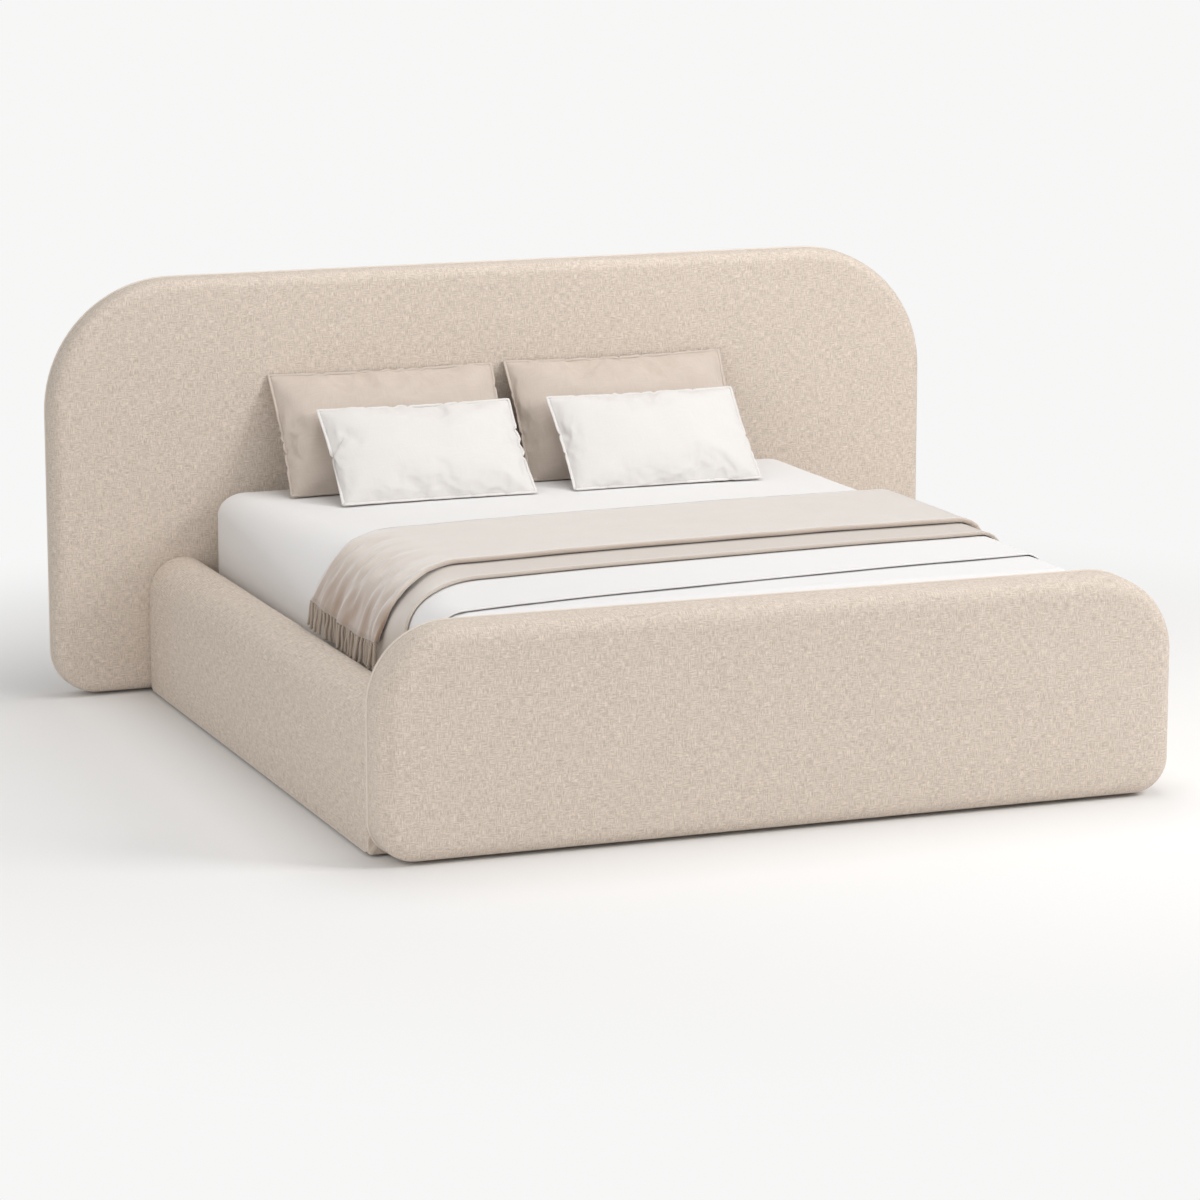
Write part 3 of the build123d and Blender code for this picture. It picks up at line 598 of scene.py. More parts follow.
def fringe_tree(count: int, length: float, ply: float, tilt: float, seed: int) -> Repeater:
    """Return a tree that hangs wavy twisted two-ply strands along its guide."""
    tree = Repeater("fringe", {
        "Count": count, "Length": length, "Ply": ply, "Tilt": tilt, "Seed": seed})
    points = tree.add("CurveToPoints", {"Curve": tree.source, "Count": tree.size("Count")},
                      mode="COUNT")
    plies = tree.add("JoinGeometry")
    parts = tree.add("ShaderNodeSeparateXYZ", {0: tree.add("InputPosition")})
    wave = tree.calc("SINE", tree.calc("MULTIPLY", parts.outputs["Z"], SWAY_PER_METRE))
    shift = tree.add("ShaderNodeCombineXYZ", {"X": tree.calc("MULTIPLY", wave, SWAY)})
    thin = tree.size("Ply")
    for turn in (0.0, math.pi):
        spiral = tree.add("CurveSpiral", {
            "Resolution": 10, "Rotations": TWISTS, "Start Radius": thin, "End Radius": thin,
            "Height": tree.size("Length")})
        section = tree.add("CurvePrimitiveCircle", {"Resolution": 6, "Radius": thin})
        turned = tree.add("Transform", {"Geometry": spiral, "Rotation": (0, 0, turn)})
        bent = tree.add("SetPosition", {"Geometry": turned, "Offset": shift})
        strand = tree.add(
            "CurveToMesh", {"Curve": bent, "Profile Curve": section, "Fill Caps": True})
        hung = tree.add("Transform", {"Geometry": strand, "Rotation": (math.pi, 0.0, 0.0)})
        tree.tree.links.new(hung.outputs[0], plies.inputs[0])
    spin = tree.add(
        "FunctionNodeRandomValue",
        {0: tuple(-turn for turn in STRAND_TURNS), 1: STRAND_TURNS, "Seed": tree.size("Seed")},
        data_type="FLOAT_VECTOR")
    outward = tree.add("ShaderNodeCombineXYZ", {"Y": tree.size("Tilt")})
    upright = tree.add("FunctionNodeRotateEuler", {0: spin, "Rotate By": outward},
                       rotation_type="EULER")
    shortest, longest = STRAND_LENGTHS
    stretch = tree.add(
        "FunctionNodeRandomValue", {2: shortest, 3: longest, "Seed": tree.size("Seed")},
        data_type="FLOAT")
    return tree.end(tree.add("InstanceOnPoints", {
        "Points": points, "Instance": plies, "Rotation": upright, "Scale": stretch.outputs[1]}))


@dataclass(frozen=True)
class Outline:
    """Rounded rectangle that stands on z = 0, sampled at the same places for every inset."""

    width: float
    height: float
    top_radius: float
    bottom_radius: float
    per_corner: int = 22
    per_width: int = 46
    per_height: int = 20

    def points(self, inset: float) -> list[tuple]:
        """Return (x, z, outward x, outward z) round the outline drawn in by inset."""
        half = self.width / 2 - inset
        low, high = inset, self.height - inset
        limit = (high - low) / 2 - 0.0005
        top, bottom = (min(max(radius - inset, LEAST_RADIUS), limit)
                       for radius in (self.top_radius, self.bottom_radius))
        corners = (
            (half - bottom, low + bottom, bottom, -90),
            (half - top, high - top, top, 0),
            (-half + top, high - top, top, 90),
            (-half + bottom, low + bottom, bottom, 180),
        )
        counts = (self.per_height, self.per_width) * 2
        loop: list[tuple] = []
        for index, (cx, cz, radius, start) in enumerate(corners):
            for nx, nz in arc(0, 0, 1, start, start + 90, self.per_corner):
                loop.append((cx + radius * nx, cz + radius * nz, nx, nz))
            next_x, next_z, next_radius, next_start = corners[(index + 1) % 4]
            (nx, nz), (x0, z0) = arc(0, 0, 1, next_start, 0, 1)[0], loop[-1][:2]
            x1, z1 = next_x + next_radius * nx, next_z + next_radius * nz
            for share in gap_steps(0, 1, counts[index])[:-1]:
                loop.append((x0 + (x1 - x0) * share, z0 + (z1 - z0) * share, nx, nz))
        return loop


@dataclass
class EndBoard:
    """Headboard or footboard: padded cover and piped seam."""

    part: str
    top_radius: float
    bottom_radius: float
    front_round: float
    back_round: float
    crown: float
    window: float = 0.0
    seed: float = 3.0
    seam_depth: float = 0.0018
    piping_radius: float = 0.0036
    belly: float = 0.0022
    swell_reach: float = 0.10
    waves: tuple = ((0.0007, 0.22, 0), (0.0004, 0.06, 4))
    seam_shape: tuple = ((0.0, 0.004), (0.6, 0.0015), (1.0, 0.0), (0.6, -0.0015), (0.0, -0.004))
    low: Vector = field(init=False)
    high: Vector = field(init=False)
    outline: Outline = field(init=False)

    def __post_init__(self) -> None:
        """Read the board's box from the frame and take its outline."""
        self.low, self.high = box(f"{self.part}_cover")
        self.outline = Outline(self.high.x - self.low.x, self.high.z - self.low.z,
                               self.top_radius, self.bottom_radius)

    @property
    def seam(self) -> float:
        """The seam's depth behind the front face."""
        return self.high.y - self.low.y - self.back_round - SEAM_DROP

    def profile(self) -> Pairs:
        """Return (inset, depth) pairs from the back, over the edge, to the middle of the front."""
        thick = self.high.y - self.low.y
        back, front, seam = self.back_round, self.front_round, self.seam
        reach = self.outline.height / 2 - CENTRE_GAP
        if self.window:
            line = [(self.window, thick - 0.004), (self.window, thick)]
            line += [(inset, thick) for inset in gap_steps(self.window, back, 4)]
        else:
            line = [(inset, thick + self.swell(inset - back)) for inset in
                    [reach] + gap_steps(reach, back + 0.01, 22)]
            line.append((back, thick))
        line += arc(back, thick - back, back, 90, 180, 6)[1:]
        line += [(self.seam_depth * share, seam + up) for share, up in self.seam_shape]
        start = line[-1][1]
        line += [(-self.belly * math.sin(math.pi * share), start + (front - start) * share)
                 for share in gap_steps(0, 1, 7)[:-1]]
        line += arc(front, front, front, 180, 270, 10)
        line += [(inset, -self.swell(inset - front)) for inset in gap_steps(front, reach, 30)]
        return line

    def swell(self, distance: float) -> float:
        """Return how far the padding stands out at a distance inside the rounded edge."""
        return self.crown * (1 - math.exp(-max(distance, 0.0) / self.swell_reach))

    def build(self) -> None:
        """Build the padded cover, and the covered cord on the seam behind the front panel."""
        rim = self.front_round
        base = self.outline.points(rim)
        line = self.profile()
        walked = lengths_past(
            line, lambda here, there: max(here[0], there[0]) <= rim + WELD or here[1] > 0.02)
        rings, uvs = [], []
        for (inset, depth), past in zip(line, walked):
            ring, spots = [], self.outline.points(inset)
            for x, z, nx, nz in spots:
                place = Vector((x, self.low.y + depth, self.low.z + z))
                soft = ripples(place, self.seed, *self.waves)
                if depth <= rim:
                    place.y -= soft
                else:
                    place += Vector((nx, 0, nz)) * soft * 0.5
                ring.append(place)
            rings.append(ring)
            uvs.append(unroll(spots, base, past))
        piece = dress(loft(f"{self.part}_padded_cover", rings, uvs), LINEN, "upholstery")
        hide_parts(f"{self.part}_cover")
        points = [
            Vector((x + nx * SEAM_LIFT, self.low.y + self.seam,
                    self.low.z + z + nz * SEAM_LIFT))
            for x, z, nx, nz in self.outline.points(0.0)
        ]
        piping_tree(self.piping_radius).run(
            f"{self.part}_piping", points, True, PIPING, "upholstery")


@dataclass
class BackCloth:
    """Cloth stapled over the open back of the headboard or under the footboard."""

    node: str
    upright: bool
    radius: float
    foot_radius: float
    margin: float = 0.012
    slack: float = 0.0012
    depth: float = 0.0015

    def build(self) -> None:
        """Build the cloth and its row of staples."""
        low, high = box(self.node)

        def at(x: float, z: float, depth: float) -> Vector:
            """Return a place on the cloth, depth inside its outer face."""
            if self.upright:
                return Vector((x, high.y - depth, low.z + z))
            return Vector((x, low.y + z, low.z + depth))

        height = (high.z - low.z) if self.upright else (high.y - low.y)
        shape = Outline(high.x - low.x, height, self.radius, self.foot_radius, 10, 30, 12)
        insets = [0.0] + gap_steps(0.0, height / 2 - 0.003, 12)
        rings, uvs = [], []
        for depth, inset in [(self.depth, 0.0)] + [(0.0, inset) for inset in insets]:
            ring = []
            for x, z, _, _ in shape.points(inset):
                sag = self.slack * smooth_step(inset / 0.1) * ripple(Vector((x, z, 0)), 0.3, 9.0)
                ring.append(at(x, z, depth + abs(sag)))
            rings.append(ring)
            uvs.append([(p.x, p.z) for p in ring + ring[:1]])
        piece = dress(loft(f"{self.node}_panel", rings, uvs), BACKING, "back_cloth")
        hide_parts(self.node)
        points = [at(x, z, -SEAM_LIFT) for x, z, _, _ in shape.points(self.margin)]
        stitch_tree(**STAPLE).run(
            f"{self.node}_staples", points, True, ZINC, "zinc_steel")


@dataclass
class SideRail:
    """Side rail whose cover has a full round crest."""

    side: int
    outer_share: float = 0.545
    bottom_round: float = 0.012
    head_round: float = 0.014
    foot_round: float = 0.004
    foot_tuck: float = 0.018
    foam_depths: tuple = (0.003, 0.009)
    foot_insets: tuple = (0.07, 0.04)
    head_insets: tuple = (0.045, 0.07)
    belly: float = 0.0015
    wide_wave: tuple = (0.0009, 0.20)
    fine_wave: tuple = (0.0004, 0.05)
    foot_piping_radius: float = 0.0024
    pattern_share: float = 0.65
    pitch: float = 0.03
    low: Vector = field(init=False)
    high: Vector = field(init=False)

    def __post_init__(self) -> None:
        """Read the rail's box from the frame."""
        self.low, self.high = box(f"rail_cover_{self.name}")

    @property
    def name(self) -> str:
        """The rail's side in words."""
        return "left" if self.side < 0 else "right"

    def section(self, inset: float) -> Pairs:
        """Return (across, up) points round the rail, where across runs from inside to outside."""
        width, height = self.high.x - self.low.x, self.high.z - self.low.z
        outer = width * self.outer_share
        inner = width - outer
        edge = max(self.bottom_round - inset, 0.002)
        side_low, side_high, inner_high = inset + edge, height - outer, height - inner
        line = arc(width - side_low, side_low, edge, -90, 0, 5)
        line += [(width - inset + self.belly * math.sin(math.pi * s / 12),
                  side_low + (side_high - side_low) * s / 12) for s in range(1, 12)]
        line += arc(inner, side_high, outer - inset, 0, 90, 14)
        line += arc(inner, inner_high, inner - inset, 90, 180, 12)[1:]
        line += [(inset, z) for z in gap_steps(inner_high, side_low, 10)[:-1]]
        line += arc(side_low, side_low, edge, 180, 270, 5)
        line += [(x, inset) for x in gap_steps(side_low, width - side_low, 6)[:-1]]
        return line

    def stations(self, start: float, stop: float) -> Pairs:
        """Return (y, inset) pairs from the foot end to the head end, with rounded ends."""
        foot, head = self.foot_round, self.head_round
        rows = [(start, inset) for inset in self.foot_insets]
        rows += arc(start + foot, foot, foot, 180, 270, 6)
        rows += [(y, 0.0) for y in gap_steps(start + foot, stop - head,
                                             int((stop - start) / self.pitch))]
        rows += arc(stop - head, head, head, 270, 360, 8)[1:]
        return rows + [(stop, inset) for inset in self.head_insets]

    def ring(self, y: float, inset: float) -> tuple[Loop, Pairs]:
        """Return one loop round the rail and its UV pairs."""
        low, high = self.low, self.high
        width, height = high.x - low.x, high.z - low.z
        loop, pairs, walked = [], [], 0.0
        line = self.section(inset)
        for last, (across, up) in zip(line[:1] + line, line):
            x = low.x + across if self.side > 0 else high.x - across
            place = Vector((x, y, low.z + up))
            outward = Vector(((across - width / 2) * self.side, 0, up - height / 2))
            soft = ripples(place, 0.0, (*self.wide_wave, 11.0 + self.side),
                           (*self.fine_wave, 5.0))
            loop.append(place + outward.normalized() * soft)
            walked += math.dist(last, (across, up))
            pairs.append((y * self.pattern_share, walked))
        pairs.append((y * self.pattern_share, walked + width - 2 * self.bottom_round))
        return loop, pairs

    def build(self) -> None:
        """Build the padded rail, the foam under it and the piping along its foot."""
        rings, uvs = zip(*(self.ring(y, inset) for y, inset in
                           self.stations(self.low.y - self.foot_tuck, self.high.y)))
        piece = loft(f"rail_padded_cover_{self.name}", rings, uvs)
        dress(piece, LINEN, "upholstery")
        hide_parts(f"rail_cover_{self.name}")
        self.foam()
        self.foot_piping()

    def foam(self) -> None:
        """Wrap the rail's boards in foam, open at both ends."""
        outer, inner = self.foam_depths
        start, stop = self.low.y + 0.001, self.high.y - self.head_round
        places = [start] + gap_steps(start, stop, 30)
        spots = [(y, outer) for y in places] + [(y, inner) for y in reversed(places)]
        rings, uvs = zip(*(self.ring(*spot) for spot in spots + [(start, outer)]))
        piece = loft(f"rail_foam_wrap_{self.name}", rings, uvs, caps=False)
        tell_outwards(piece.data, WELD)
        dress(piece, FOAM, "upholstery_foam")
        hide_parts(f"rail_foam_{self.name}")

    def foot_piping(self) -> None:
        """Run a thin piped edge along the outer foot of the rail."""
        turn = self.bottom_round * (1 - math.sqrt(0.5))
        x = self.side * (max(abs(self.low.x), abs(self.high.x)) - turn)
        start = self.low.y + 0.004
        points = [Vector((x, y, self.low.z + turn))
                  for y in [start] + gap_steps(start, self.high.y - 0.02, 40)]
        piping_tree(self.foot_piping_radius).run(
            f"rail_foot_piping_{self.name}", points, False, PIPING, "upholstery")


@dataclass(frozen=True)
class BedSection:
    """The mattress's cross-section, whose shoulders grow softer towards the foot."""

    half_width: float
    top: float
    base: float
    plain_round: float
    crown: float
    head: float
    foot: float
    worn_span: tuple
    head_shoulder: tuple = (0.080, 0.060)
    left_shoulder: tuple = (0.275, 0.190)
    left_foot_shoulder: tuple = (0.105, 0.095)
    right_shoulder: tuple = (0.042, 0.034)
    dome_reach: float = 0.45
    steps: int = 20

    def shoulder(self, y: float, side: int) -> tuple[float, float]:
        """Return the width and the drop of one side's shoulder at a place along the bed."""
        share = smooth_step((self.head - y) / (self.head - self.foot))
        worn = self.right_shoulder
        if side < 0:
            start, stop = self.worn_span
            late = smooth_step((stop - y) / (stop - start))
            worn = [a + (b - a) * late
                    for a, b in zip(self.left_shoulder, self.left_foot_shoulder)]
        wide, tall = (a + (b - a) * share for a, b in zip(self.head_shoulder, worn))
        return wide, tall

    def height(self, x: float, y: float) -> float:
        """Return the height of the mattress's surface over a place on the floor."""
        wide, tall = self.shoulder(y, -1 if x < 0 else 1)
        share = min(max((abs(x) - self.half_width + wide) / wide, 0.0), 1.0)
        dome = self.crown * smooth_step((self.half_width - wide - abs(x)) / self.dome_reach)
        return self.top - tall + tall * math.sqrt(1 - share * share) + dome

    def settle(self, place: Vector) -> Vector:
        """Lower a point of a plain block to the softer shoulders."""
        over = min(max(abs(place.x) - self.half_width + self.plain_round, 0.0),
                   self.plain_round)
        plain = self.top - self.plain_round + math.sqrt(self.plain_round ** 2 - over * over)
        share = (place.z - self.base) / (plain - self.base)
        soft = self.height(place.x, place.y)
        return Vector((place.x, place.y, self.base + share * (soft - self.base)))

    def at(self, along: float, lift: float, y: float) -> tuple[Vector, Vector]:
        """Return the place and the outward direction at a distance across the bed.

        Args:
            along: distance over the cloth from the middle of the bed, negative on the left.
            lift: height over the mattress.
            y: place along the bed.

        Returns:
            A point and a unit normal.
        """
        side = -1 if along < 0 else 1
        wide, tall = self.shoulder(y, side)
        rest = abs(along) - (self.half_width - wide)
        if rest <= 0:
            return Vector((along, y, self.height(along, y) + lift)), Vector((0, 0, 1))
        last = (0.0, 0.0)
        for step in range(1, self.steps + 1):
            turn = math.pi / 2 * step / self.steps
            spot = (wide * math.sin(turn), tall * (1 - math.cos(turn)))
            length = math.dist(spot, last)
            if rest <= length:
                turn -= math.pi / 2 / self.steps * (1 - rest / length)
                break
            rest -= length
            last = spot
        else:
            place = Vector((side * (self.half_width + lift), y, self.top - tall - rest))
            return place, Vector((side, 0, 0))
        normal = Vector((math.sin(turn) / wide, 0, math.cos(turn) / tall)).normalized()
        place = Vector((self.half_width - wide + wide * math.sin(turn), y,
                        self.top - tall * (1 - math.cos(turn)))) + normal * lift
        return Vector((side * place.x, y, place.z)), Vector((side * normal.x, 0, normal.z))

    def reach_to(self, fall: float, y: float, side: int) -> float:
        """Return the distance over the cloth to a point that lies fall below the top."""
        low, high = 0.0, self.half_width + fall + 0.2
        for _ in range(30):
            middle = (low + high) / 2
            if self.at(side * middle, 0.0, y)[0].z > self.top - fall:
                low = middle
            else:
                high = middle
        return low


@dataclass
class SoftBlock:
    """Mattress or spring box: a lying rounded block with soft edges."""

    name: str
    nodes: tuple
    body: str
    slot: str
    finish: Finish
    corner_radius: float
    edge_round: float
    puff: float = 0.0005
    softness: float = 0.0008
    base_round: float = 0.0
    piped: bool = False
    section: BedSection | None = None
    seed: float = 1.0
    waves: tuple = ((1.0, 0.28, 0), (0.4, 0.07, 2))
    piping_radius: float = 0.0022
    piping_share: float = 0.3

    def line(self, thick: float, reach: float) -> Pairs:
        """Return (inset, up) pairs from the middle of the base to the middle of the top."""
        r = self.edge_round
        foot = self.base_round or r
        line = [(inset, 0.0) for inset in [reach] + gap_steps(reach, foot, 10)]
        line += [(foot - x, y) for x, y in arc(0, foot, foot, -90, 0, 10)[1:]]
        line += [(-self.puff * math.sin(math.pi * s / 10), foot + (thick - r - foot) * s / 10)
                 for s in range(1, 10)]
        line += [(r - x, y) for x, y in arc(0, thick - r, r, 0, 90, 16)]
        return line + [(inset, thick) for inset in gap_steps(r, reach, 34)]

    def build(self) -> None:
        """Build the block, with piping round its faces where it has any."""
        boxes = [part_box(node) for node in self.nodes]
        low, high = (Vector([pick(corners[end][axis] for corners in boxes) for axis in range(3)])
                     for end, pick in ((0, min), (1, max)))
        width, length, thick = high - low
        shape = Outline(width, length, self.corner_radius, self.corner_radius, 16, 50, 56)
        r = self.edge_round
        line = self.line(thick, min(width, length) / 2 - CENTRE_GAP)
        base = shape.points(r)
        middle = Vector(((low.x + high.x) / 2, low.y, low.z))
        walked = lengths_past(line, lambda here, _: here[0] <= r or here[1] <= thick / 2)
        rings, uvs = [], []
        for (inset, up), past in zip(line, walked):
            ring, spots = [], shape.points(inset)
            tilt = smooth_step(inset / r)
            for x, y, nx, ny in spots:
                place = middle + Vector((x, y, up))
                if self.section:
                    place = self.section.settle(place)
                soft = self.softness * ripples(place, self.seed, *self.waves)
                place += Vector((nx * (1 - tilt), ny * (1 - tilt),
                                 tilt if up > thick / 2 else 0)) * soft
                ring.append(place)
            rings.append(ring)
            uvs.append(unroll(spots, base, past))
        piece = dress(loft(self.name, rings, uvs), self.finish, self.slot, self.body)
        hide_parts(*self.nodes)
        inset = r * self.piping_share
        for label, up in (("top", high.z - inset), ("base", low.z + inset)) * self.piped:
            points = [Vector((middle.x + x, middle.y + y, up))
                      for x, y, _, _ in shape.points(inset)]
            piping_tree(self.piping_radius).run(
                f"{self.name}_{label}_piping", points, True, PIPING, self.slot, self.body)


@dataclass
class BedLayer:
    """A cloth laid over the mattress, with its foot edge folded under."""

    node: str
    finish: ClothFinish
    slot: str
    section: BedSection
    lift: float
    total: float
    thickness: float
    foot: float
    head: float
    fall: float
    hem: float
    pitch: float = 0.012
    fold_depth: float = 0.0
    fold_size: float = 0.08
    wrinkle: float = 0.0006
    drag: float = 0.0
    left_drift: float = 0.24
    right_drift: float = 0.02
    skew: float = 0.05
    flare: float = 0.0
    curl: float = 0.0
    seed: float = 1.0
    curl_length: float = 0.02
    head_lean: float = 0.35
    skew_reach: float = 0.9
    fold_stretch: float = 0.35
    second_fold: tuple = (0.6, 0.42)
    shallow_size: float = 0.13
    slant_size: float = 0.05
    hem_share: float = 0.8
    flat: tuple = field(init=False, default=(0.0, 0.0))

    def path(self) -> Pairs:
        """Return (y, height over the lift) from the hidden hem, round the fold, to the head."""
        gap = (self.total - self.thickness) / 2
        low, high = self.thickness / 2, self.total - self.thickness / 2
        start, fold = self.foot + self.hem, self.foot + gap
        rows = [(y, low) for y in [start] + gap_steps(
            start, fold, max(2, int(self.hem / self.pitch)))]
        rows += arc(fold, (low + high) / 2, gap, 270, 90, 8)[1:]
        count = int((self.head - self.foot) / self.pitch)
        return rows + [(y, high) for y in gap_steps(fold, self.head, count)]

    @property
    def middle(self) -> float:
        """The place along the bed that the cloth's ends are measured at."""
        return (self.foot + self.head) / 2 - self.left_drift / 2

    def hang(self, along: float) -> float:
        """Return how far down the hanging side a point lies, from 0 at the top to 1."""
        side = -1 if along < 0 else 1
        start = self.section.half_width - self.section.shoulder(self.middle, side)[0]
        return smooth_step((abs(along) - start) / (self.reach(side) - start))

    def reach(self, side: int) -> float:
        """Return the distance over the cloth from the middle of the bed to one hem."""
        return self.section.reach_to(self.fall, self.middle, side)

    def spot(self, along: float, y: float, height: float, hang: float) -> Vector:
        """Return the place of one point of the cloth.

        Args:
            along: distance over the cloth from the middle of the bed, negative on the left.
            y: place along the bed before the cloth is skewed.
            height: height over the layer's lift.
            hang: how far down the hanging side the point lies.

        Returns:
            The point, with its folds and wrinkles.
        """
        drift = self.left_drift if along < 0 else self.right_drift
        lean = 1 - self.head_lean * (y - self.foot) / (self.head - self.foot)
        skewed = self.skew * max(min(along, self.skew_reach), -self.skew_reach)
        down = y + skewed - drift * hang * lean
        over = along * (1 + self.flare * (y - (self.foot + self.head) / 2))
        raised = self.curl * math.exp(-(y - self.foot) / self.curl_length)
        place, normal = self.section.at(over, self.lift + height + raised, down)
        share, finer = self.second_fold
        folds = ripples(Vector((along * self.fold_stretch, y, self.seed)), self.seed,
                        (1.0, self.fold_size, 0), (share, self.fold_size * finer, 7))
        shallow = ripple(Vector((along, y * 1.6, 0)), self.shallow_size, self.seed + 2)
        slant = ripple(Vector((along * 0.7 + y * 1.5, y * 0.25 - along * 0.2, 0)),
                       self.slant_size, self.seed + 3)
        out = self.fold_depth * smooth_step(hang * 1.6) * (0.55 + folds)
        out += self.wrinkle * (0.5 + 0.5 * shallow)
        out += self.drag * 4 * hang * (1 - hang) * (0.5 + slant)
        return place + normal * max(out, 0.0)

    def build(self) -> Object:
        """Build the cloth and return it."""
        left, right = self.reach(-1), self.reach(1)
        columns = [-left] + gap_steps(-left, right, int((left + right) / self.pitch))
        hangs = [self.hang(along) for along in columns]
        rows = self.path()
        rings = [[self.spot(along, y, height, hang) for along, hang in zip(columns, hangs)]
                 for y, height in rows]
        walked, uvs = 0.0, []
        for last, row in zip(rows[:1] + rows, rows):
            walked += math.dist(row, last)
            uvs.append([(along, walked) for along in columns])
        piece = loft(f"{self.node}_cloth", rings, uvs, close=False, caps=False)
        wall = piece.modifiers.new("thickness", "SOLIDIFY")
        wall.thickness = self.thickness
        wall.offset = 0.0
        wall.use_even_offset = False
        mesh = evaluated_mesh(piece)
        piece.modifiers.clear()
        piece.data = mesh
        tell_outwards(mesh)
        dress(piece, self.finish, self.slot, "mattress")
        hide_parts(self.node)
        self.flat = (left + right, walked)
        return piece

    def declare(self, piece: Object, strands: list[Object]) -> None:
        """Take the cloth and the strands that hang from it, and do nothing."""

    def hem_line(self, side: int) -> Loop:
        """Return the points of the hanging hem on one side, from foot to head."""
        reach = side * self.reach(side)
        start = self.foot + 0.006
        return [self.spot(reach, y, self.total * self.hem_share, 1.0)
                for y in [start] + gap_steps(start, self.head - 0.004, 40)]


@dataclass
class Pillow:
    """Pillow or cushion with a sewn flange, blown up by cloth simulation."""

    node: str
    body: str
    finish: ClothFinish
    slot: str
    width: float
    height: float
    thickness: float
    lean: float
    rest_height: float
    back_limit: float
    nudge: tuple = (0.0, 0.0)
    seed: int = 1
    pressure: float = 3.0
    pitch: float = 0.009
    frames: int = 26
    flange: float = 0.0065
    flange_inset: float = 0.003
    flange_half: float = 0.0016
    flange_gap: float = 0.0036
    draw_in: tuple = (0.022, 0.035)
    start_bulge: float = 0.012
    start_gap: float = 0.002
    start_jitter: float = 0.0006
    sink: float = 0.006
    clearance: float = 0.001
    squash: float = 0.15
    skin: float = 0.004
    spots: dict = field(init=False, default_factory=dict)

    @property
    def grid(self) -> tuple[int, int]:
        """How many cells the pillow has across and up."""
        return round(self.width / self.pitch), round(self.height / self.pitch)

    @property
    def turn(self) -> Matrix:
        """The rotation that leans the pillow back."""
        return Matrix.Rotation(math.radians(90 - self.lean), 3, "X")

    def blank(self) -> tuple[Object, list[int]]:
        """Return two sheets sewn together at the rim, and the rim's points in order."""
        cols, rows = self.grid
        chance = random.Random(self.seed)
        verts: list[tuple] = []
        index = self.spots
        for face in (0, 1):
            for row in range(rows + 1):
                for col in range(cols + 1):
                    rim = row in (0, rows) or col in (0, cols)
                    if face and rim:
                        index[(1, row, col)] = index[(0, row, col)]
                        continue
                    u, v = col / cols - 0.5, row / rows - 0.5
                    bulge = 0.0
                    if not rim:
                        bulge = self.start_bulge * (1 - (2 * u) ** 4) * (1 - (2 * v) ** 4)
                        bulge += self.start_gap
                        bulge += chance.uniform(-self.start_jitter, self.start_jitter)
                    index[(face, row, col)] = len(verts)
                    verts.append((u * self.width, v * self.height, bulge if face else -bulge))
        faces, corners = [], []
        for face in (0, 1):
            for row in range(rows):
                for col in range(cols):
                    cell = [(row, col), (row, col + 1), (row + 1, col + 1), (row + 1, col)]
                    if not face:
                        cell.reverse()
                    faces.append(tuple(index[(face, r, c)] for r, c in cell))
                    corners += [(c / cols * self.width, r / rows * self.height) for r, c in cell]
        mesh = bpy.data.meshes.new(f"{self.node}_blank")
        mesh.from_pydata(verts, [], faces)
        add_uv(mesh, corners)
        mesh.shade_smooth()
        rim = [(0, col) for col in range(cols)] + [(row, cols) for row in range(rows)]
        rim += [(rows - row, cols - col) for row, col in rim]
        return (add_object(self.node.replace("cover", "linen"), mesh),
                [index[(0, *cell)] for cell in rim])

    def inflate(self, piece: Object) -> None:
        """Blow the pillow up with cloth pressure and keep the result in its mesh."""
        cloth = piece.modifiers.new("cloth", "CLOTH")
        for name, value in (
            ("quality", 5), ("mass", 0.25), ("tension_stiffness", 18),
            ("compression_stiffness", 18), ("shear_stiffness", 6), ("bending_stiffness", 0.4),
            ("use_pressure", True), ("uniform_pressure_force", self.pressure),
        ):
            setattr(cloth.settings, name, value)
        cloth.settings.effector_weights.gravity = 0
        cloth.collision_settings.use_collision = False
        cloth.point_cache.frame_start = 1
        cloth.point_cache.frame_end = self.frames
        for number in range(1, self.frames + 1):
            bpy.context.scene.frame_set(number)
        mesh = evaluated_mesh(piece)
        piece.modifiers.clear()
        piece.data = mesh
        bpy.context.scene.frame_set(1)

    def straighten(self, piece: Object) -> None:
        """Pull the drawn-in edges back to a nearly straight outline and keep their creases."""
        cols, rows = self.grid
        verts = piece.data.vertices
        left, right = (self.evened([verts[self.spots[(0, row, col)]].co.x
                                    for row in range(rows + 1)]) for col in (0, cols))
        low, high = (self.evened([verts[self.spots[(0, row, col)]].co.y
                                  for col in range(cols + 1)]) for row in (0, rows))
        moved = set()
        for (_, row, col), number in self.spots.items():
            if number in moved:
                continue
            moved.add(number)
            a, b = col / cols, row / rows
            reach = self.width / 2 * (1 - self.draw_in[0] * (1 - (2 * b - 1) ** 2))
            rise = self.height / 2 * (1 - self.draw_in[1] * (1 - (2 * a - 1) ** 2))
            verts[number].co.x += (1 - a) * (-reach - left[row]) + a * (reach - right[row])
            verts[number].co.y += (1 - b) * (-rise - low[col]) + b * (rise - high[col])

    @staticmethod
    def evened(line: list[float], window: int = 2) -> list[float]:
        """Return a line of values, each the mean of itself and its neighbours."""
        result = []
        for place in range(len(line)):
            span = min(window, place, len(line) - 1 - place)
            part = line[place - span:place + span + 1]
            result.append(sum(part) / len(part))
        return result

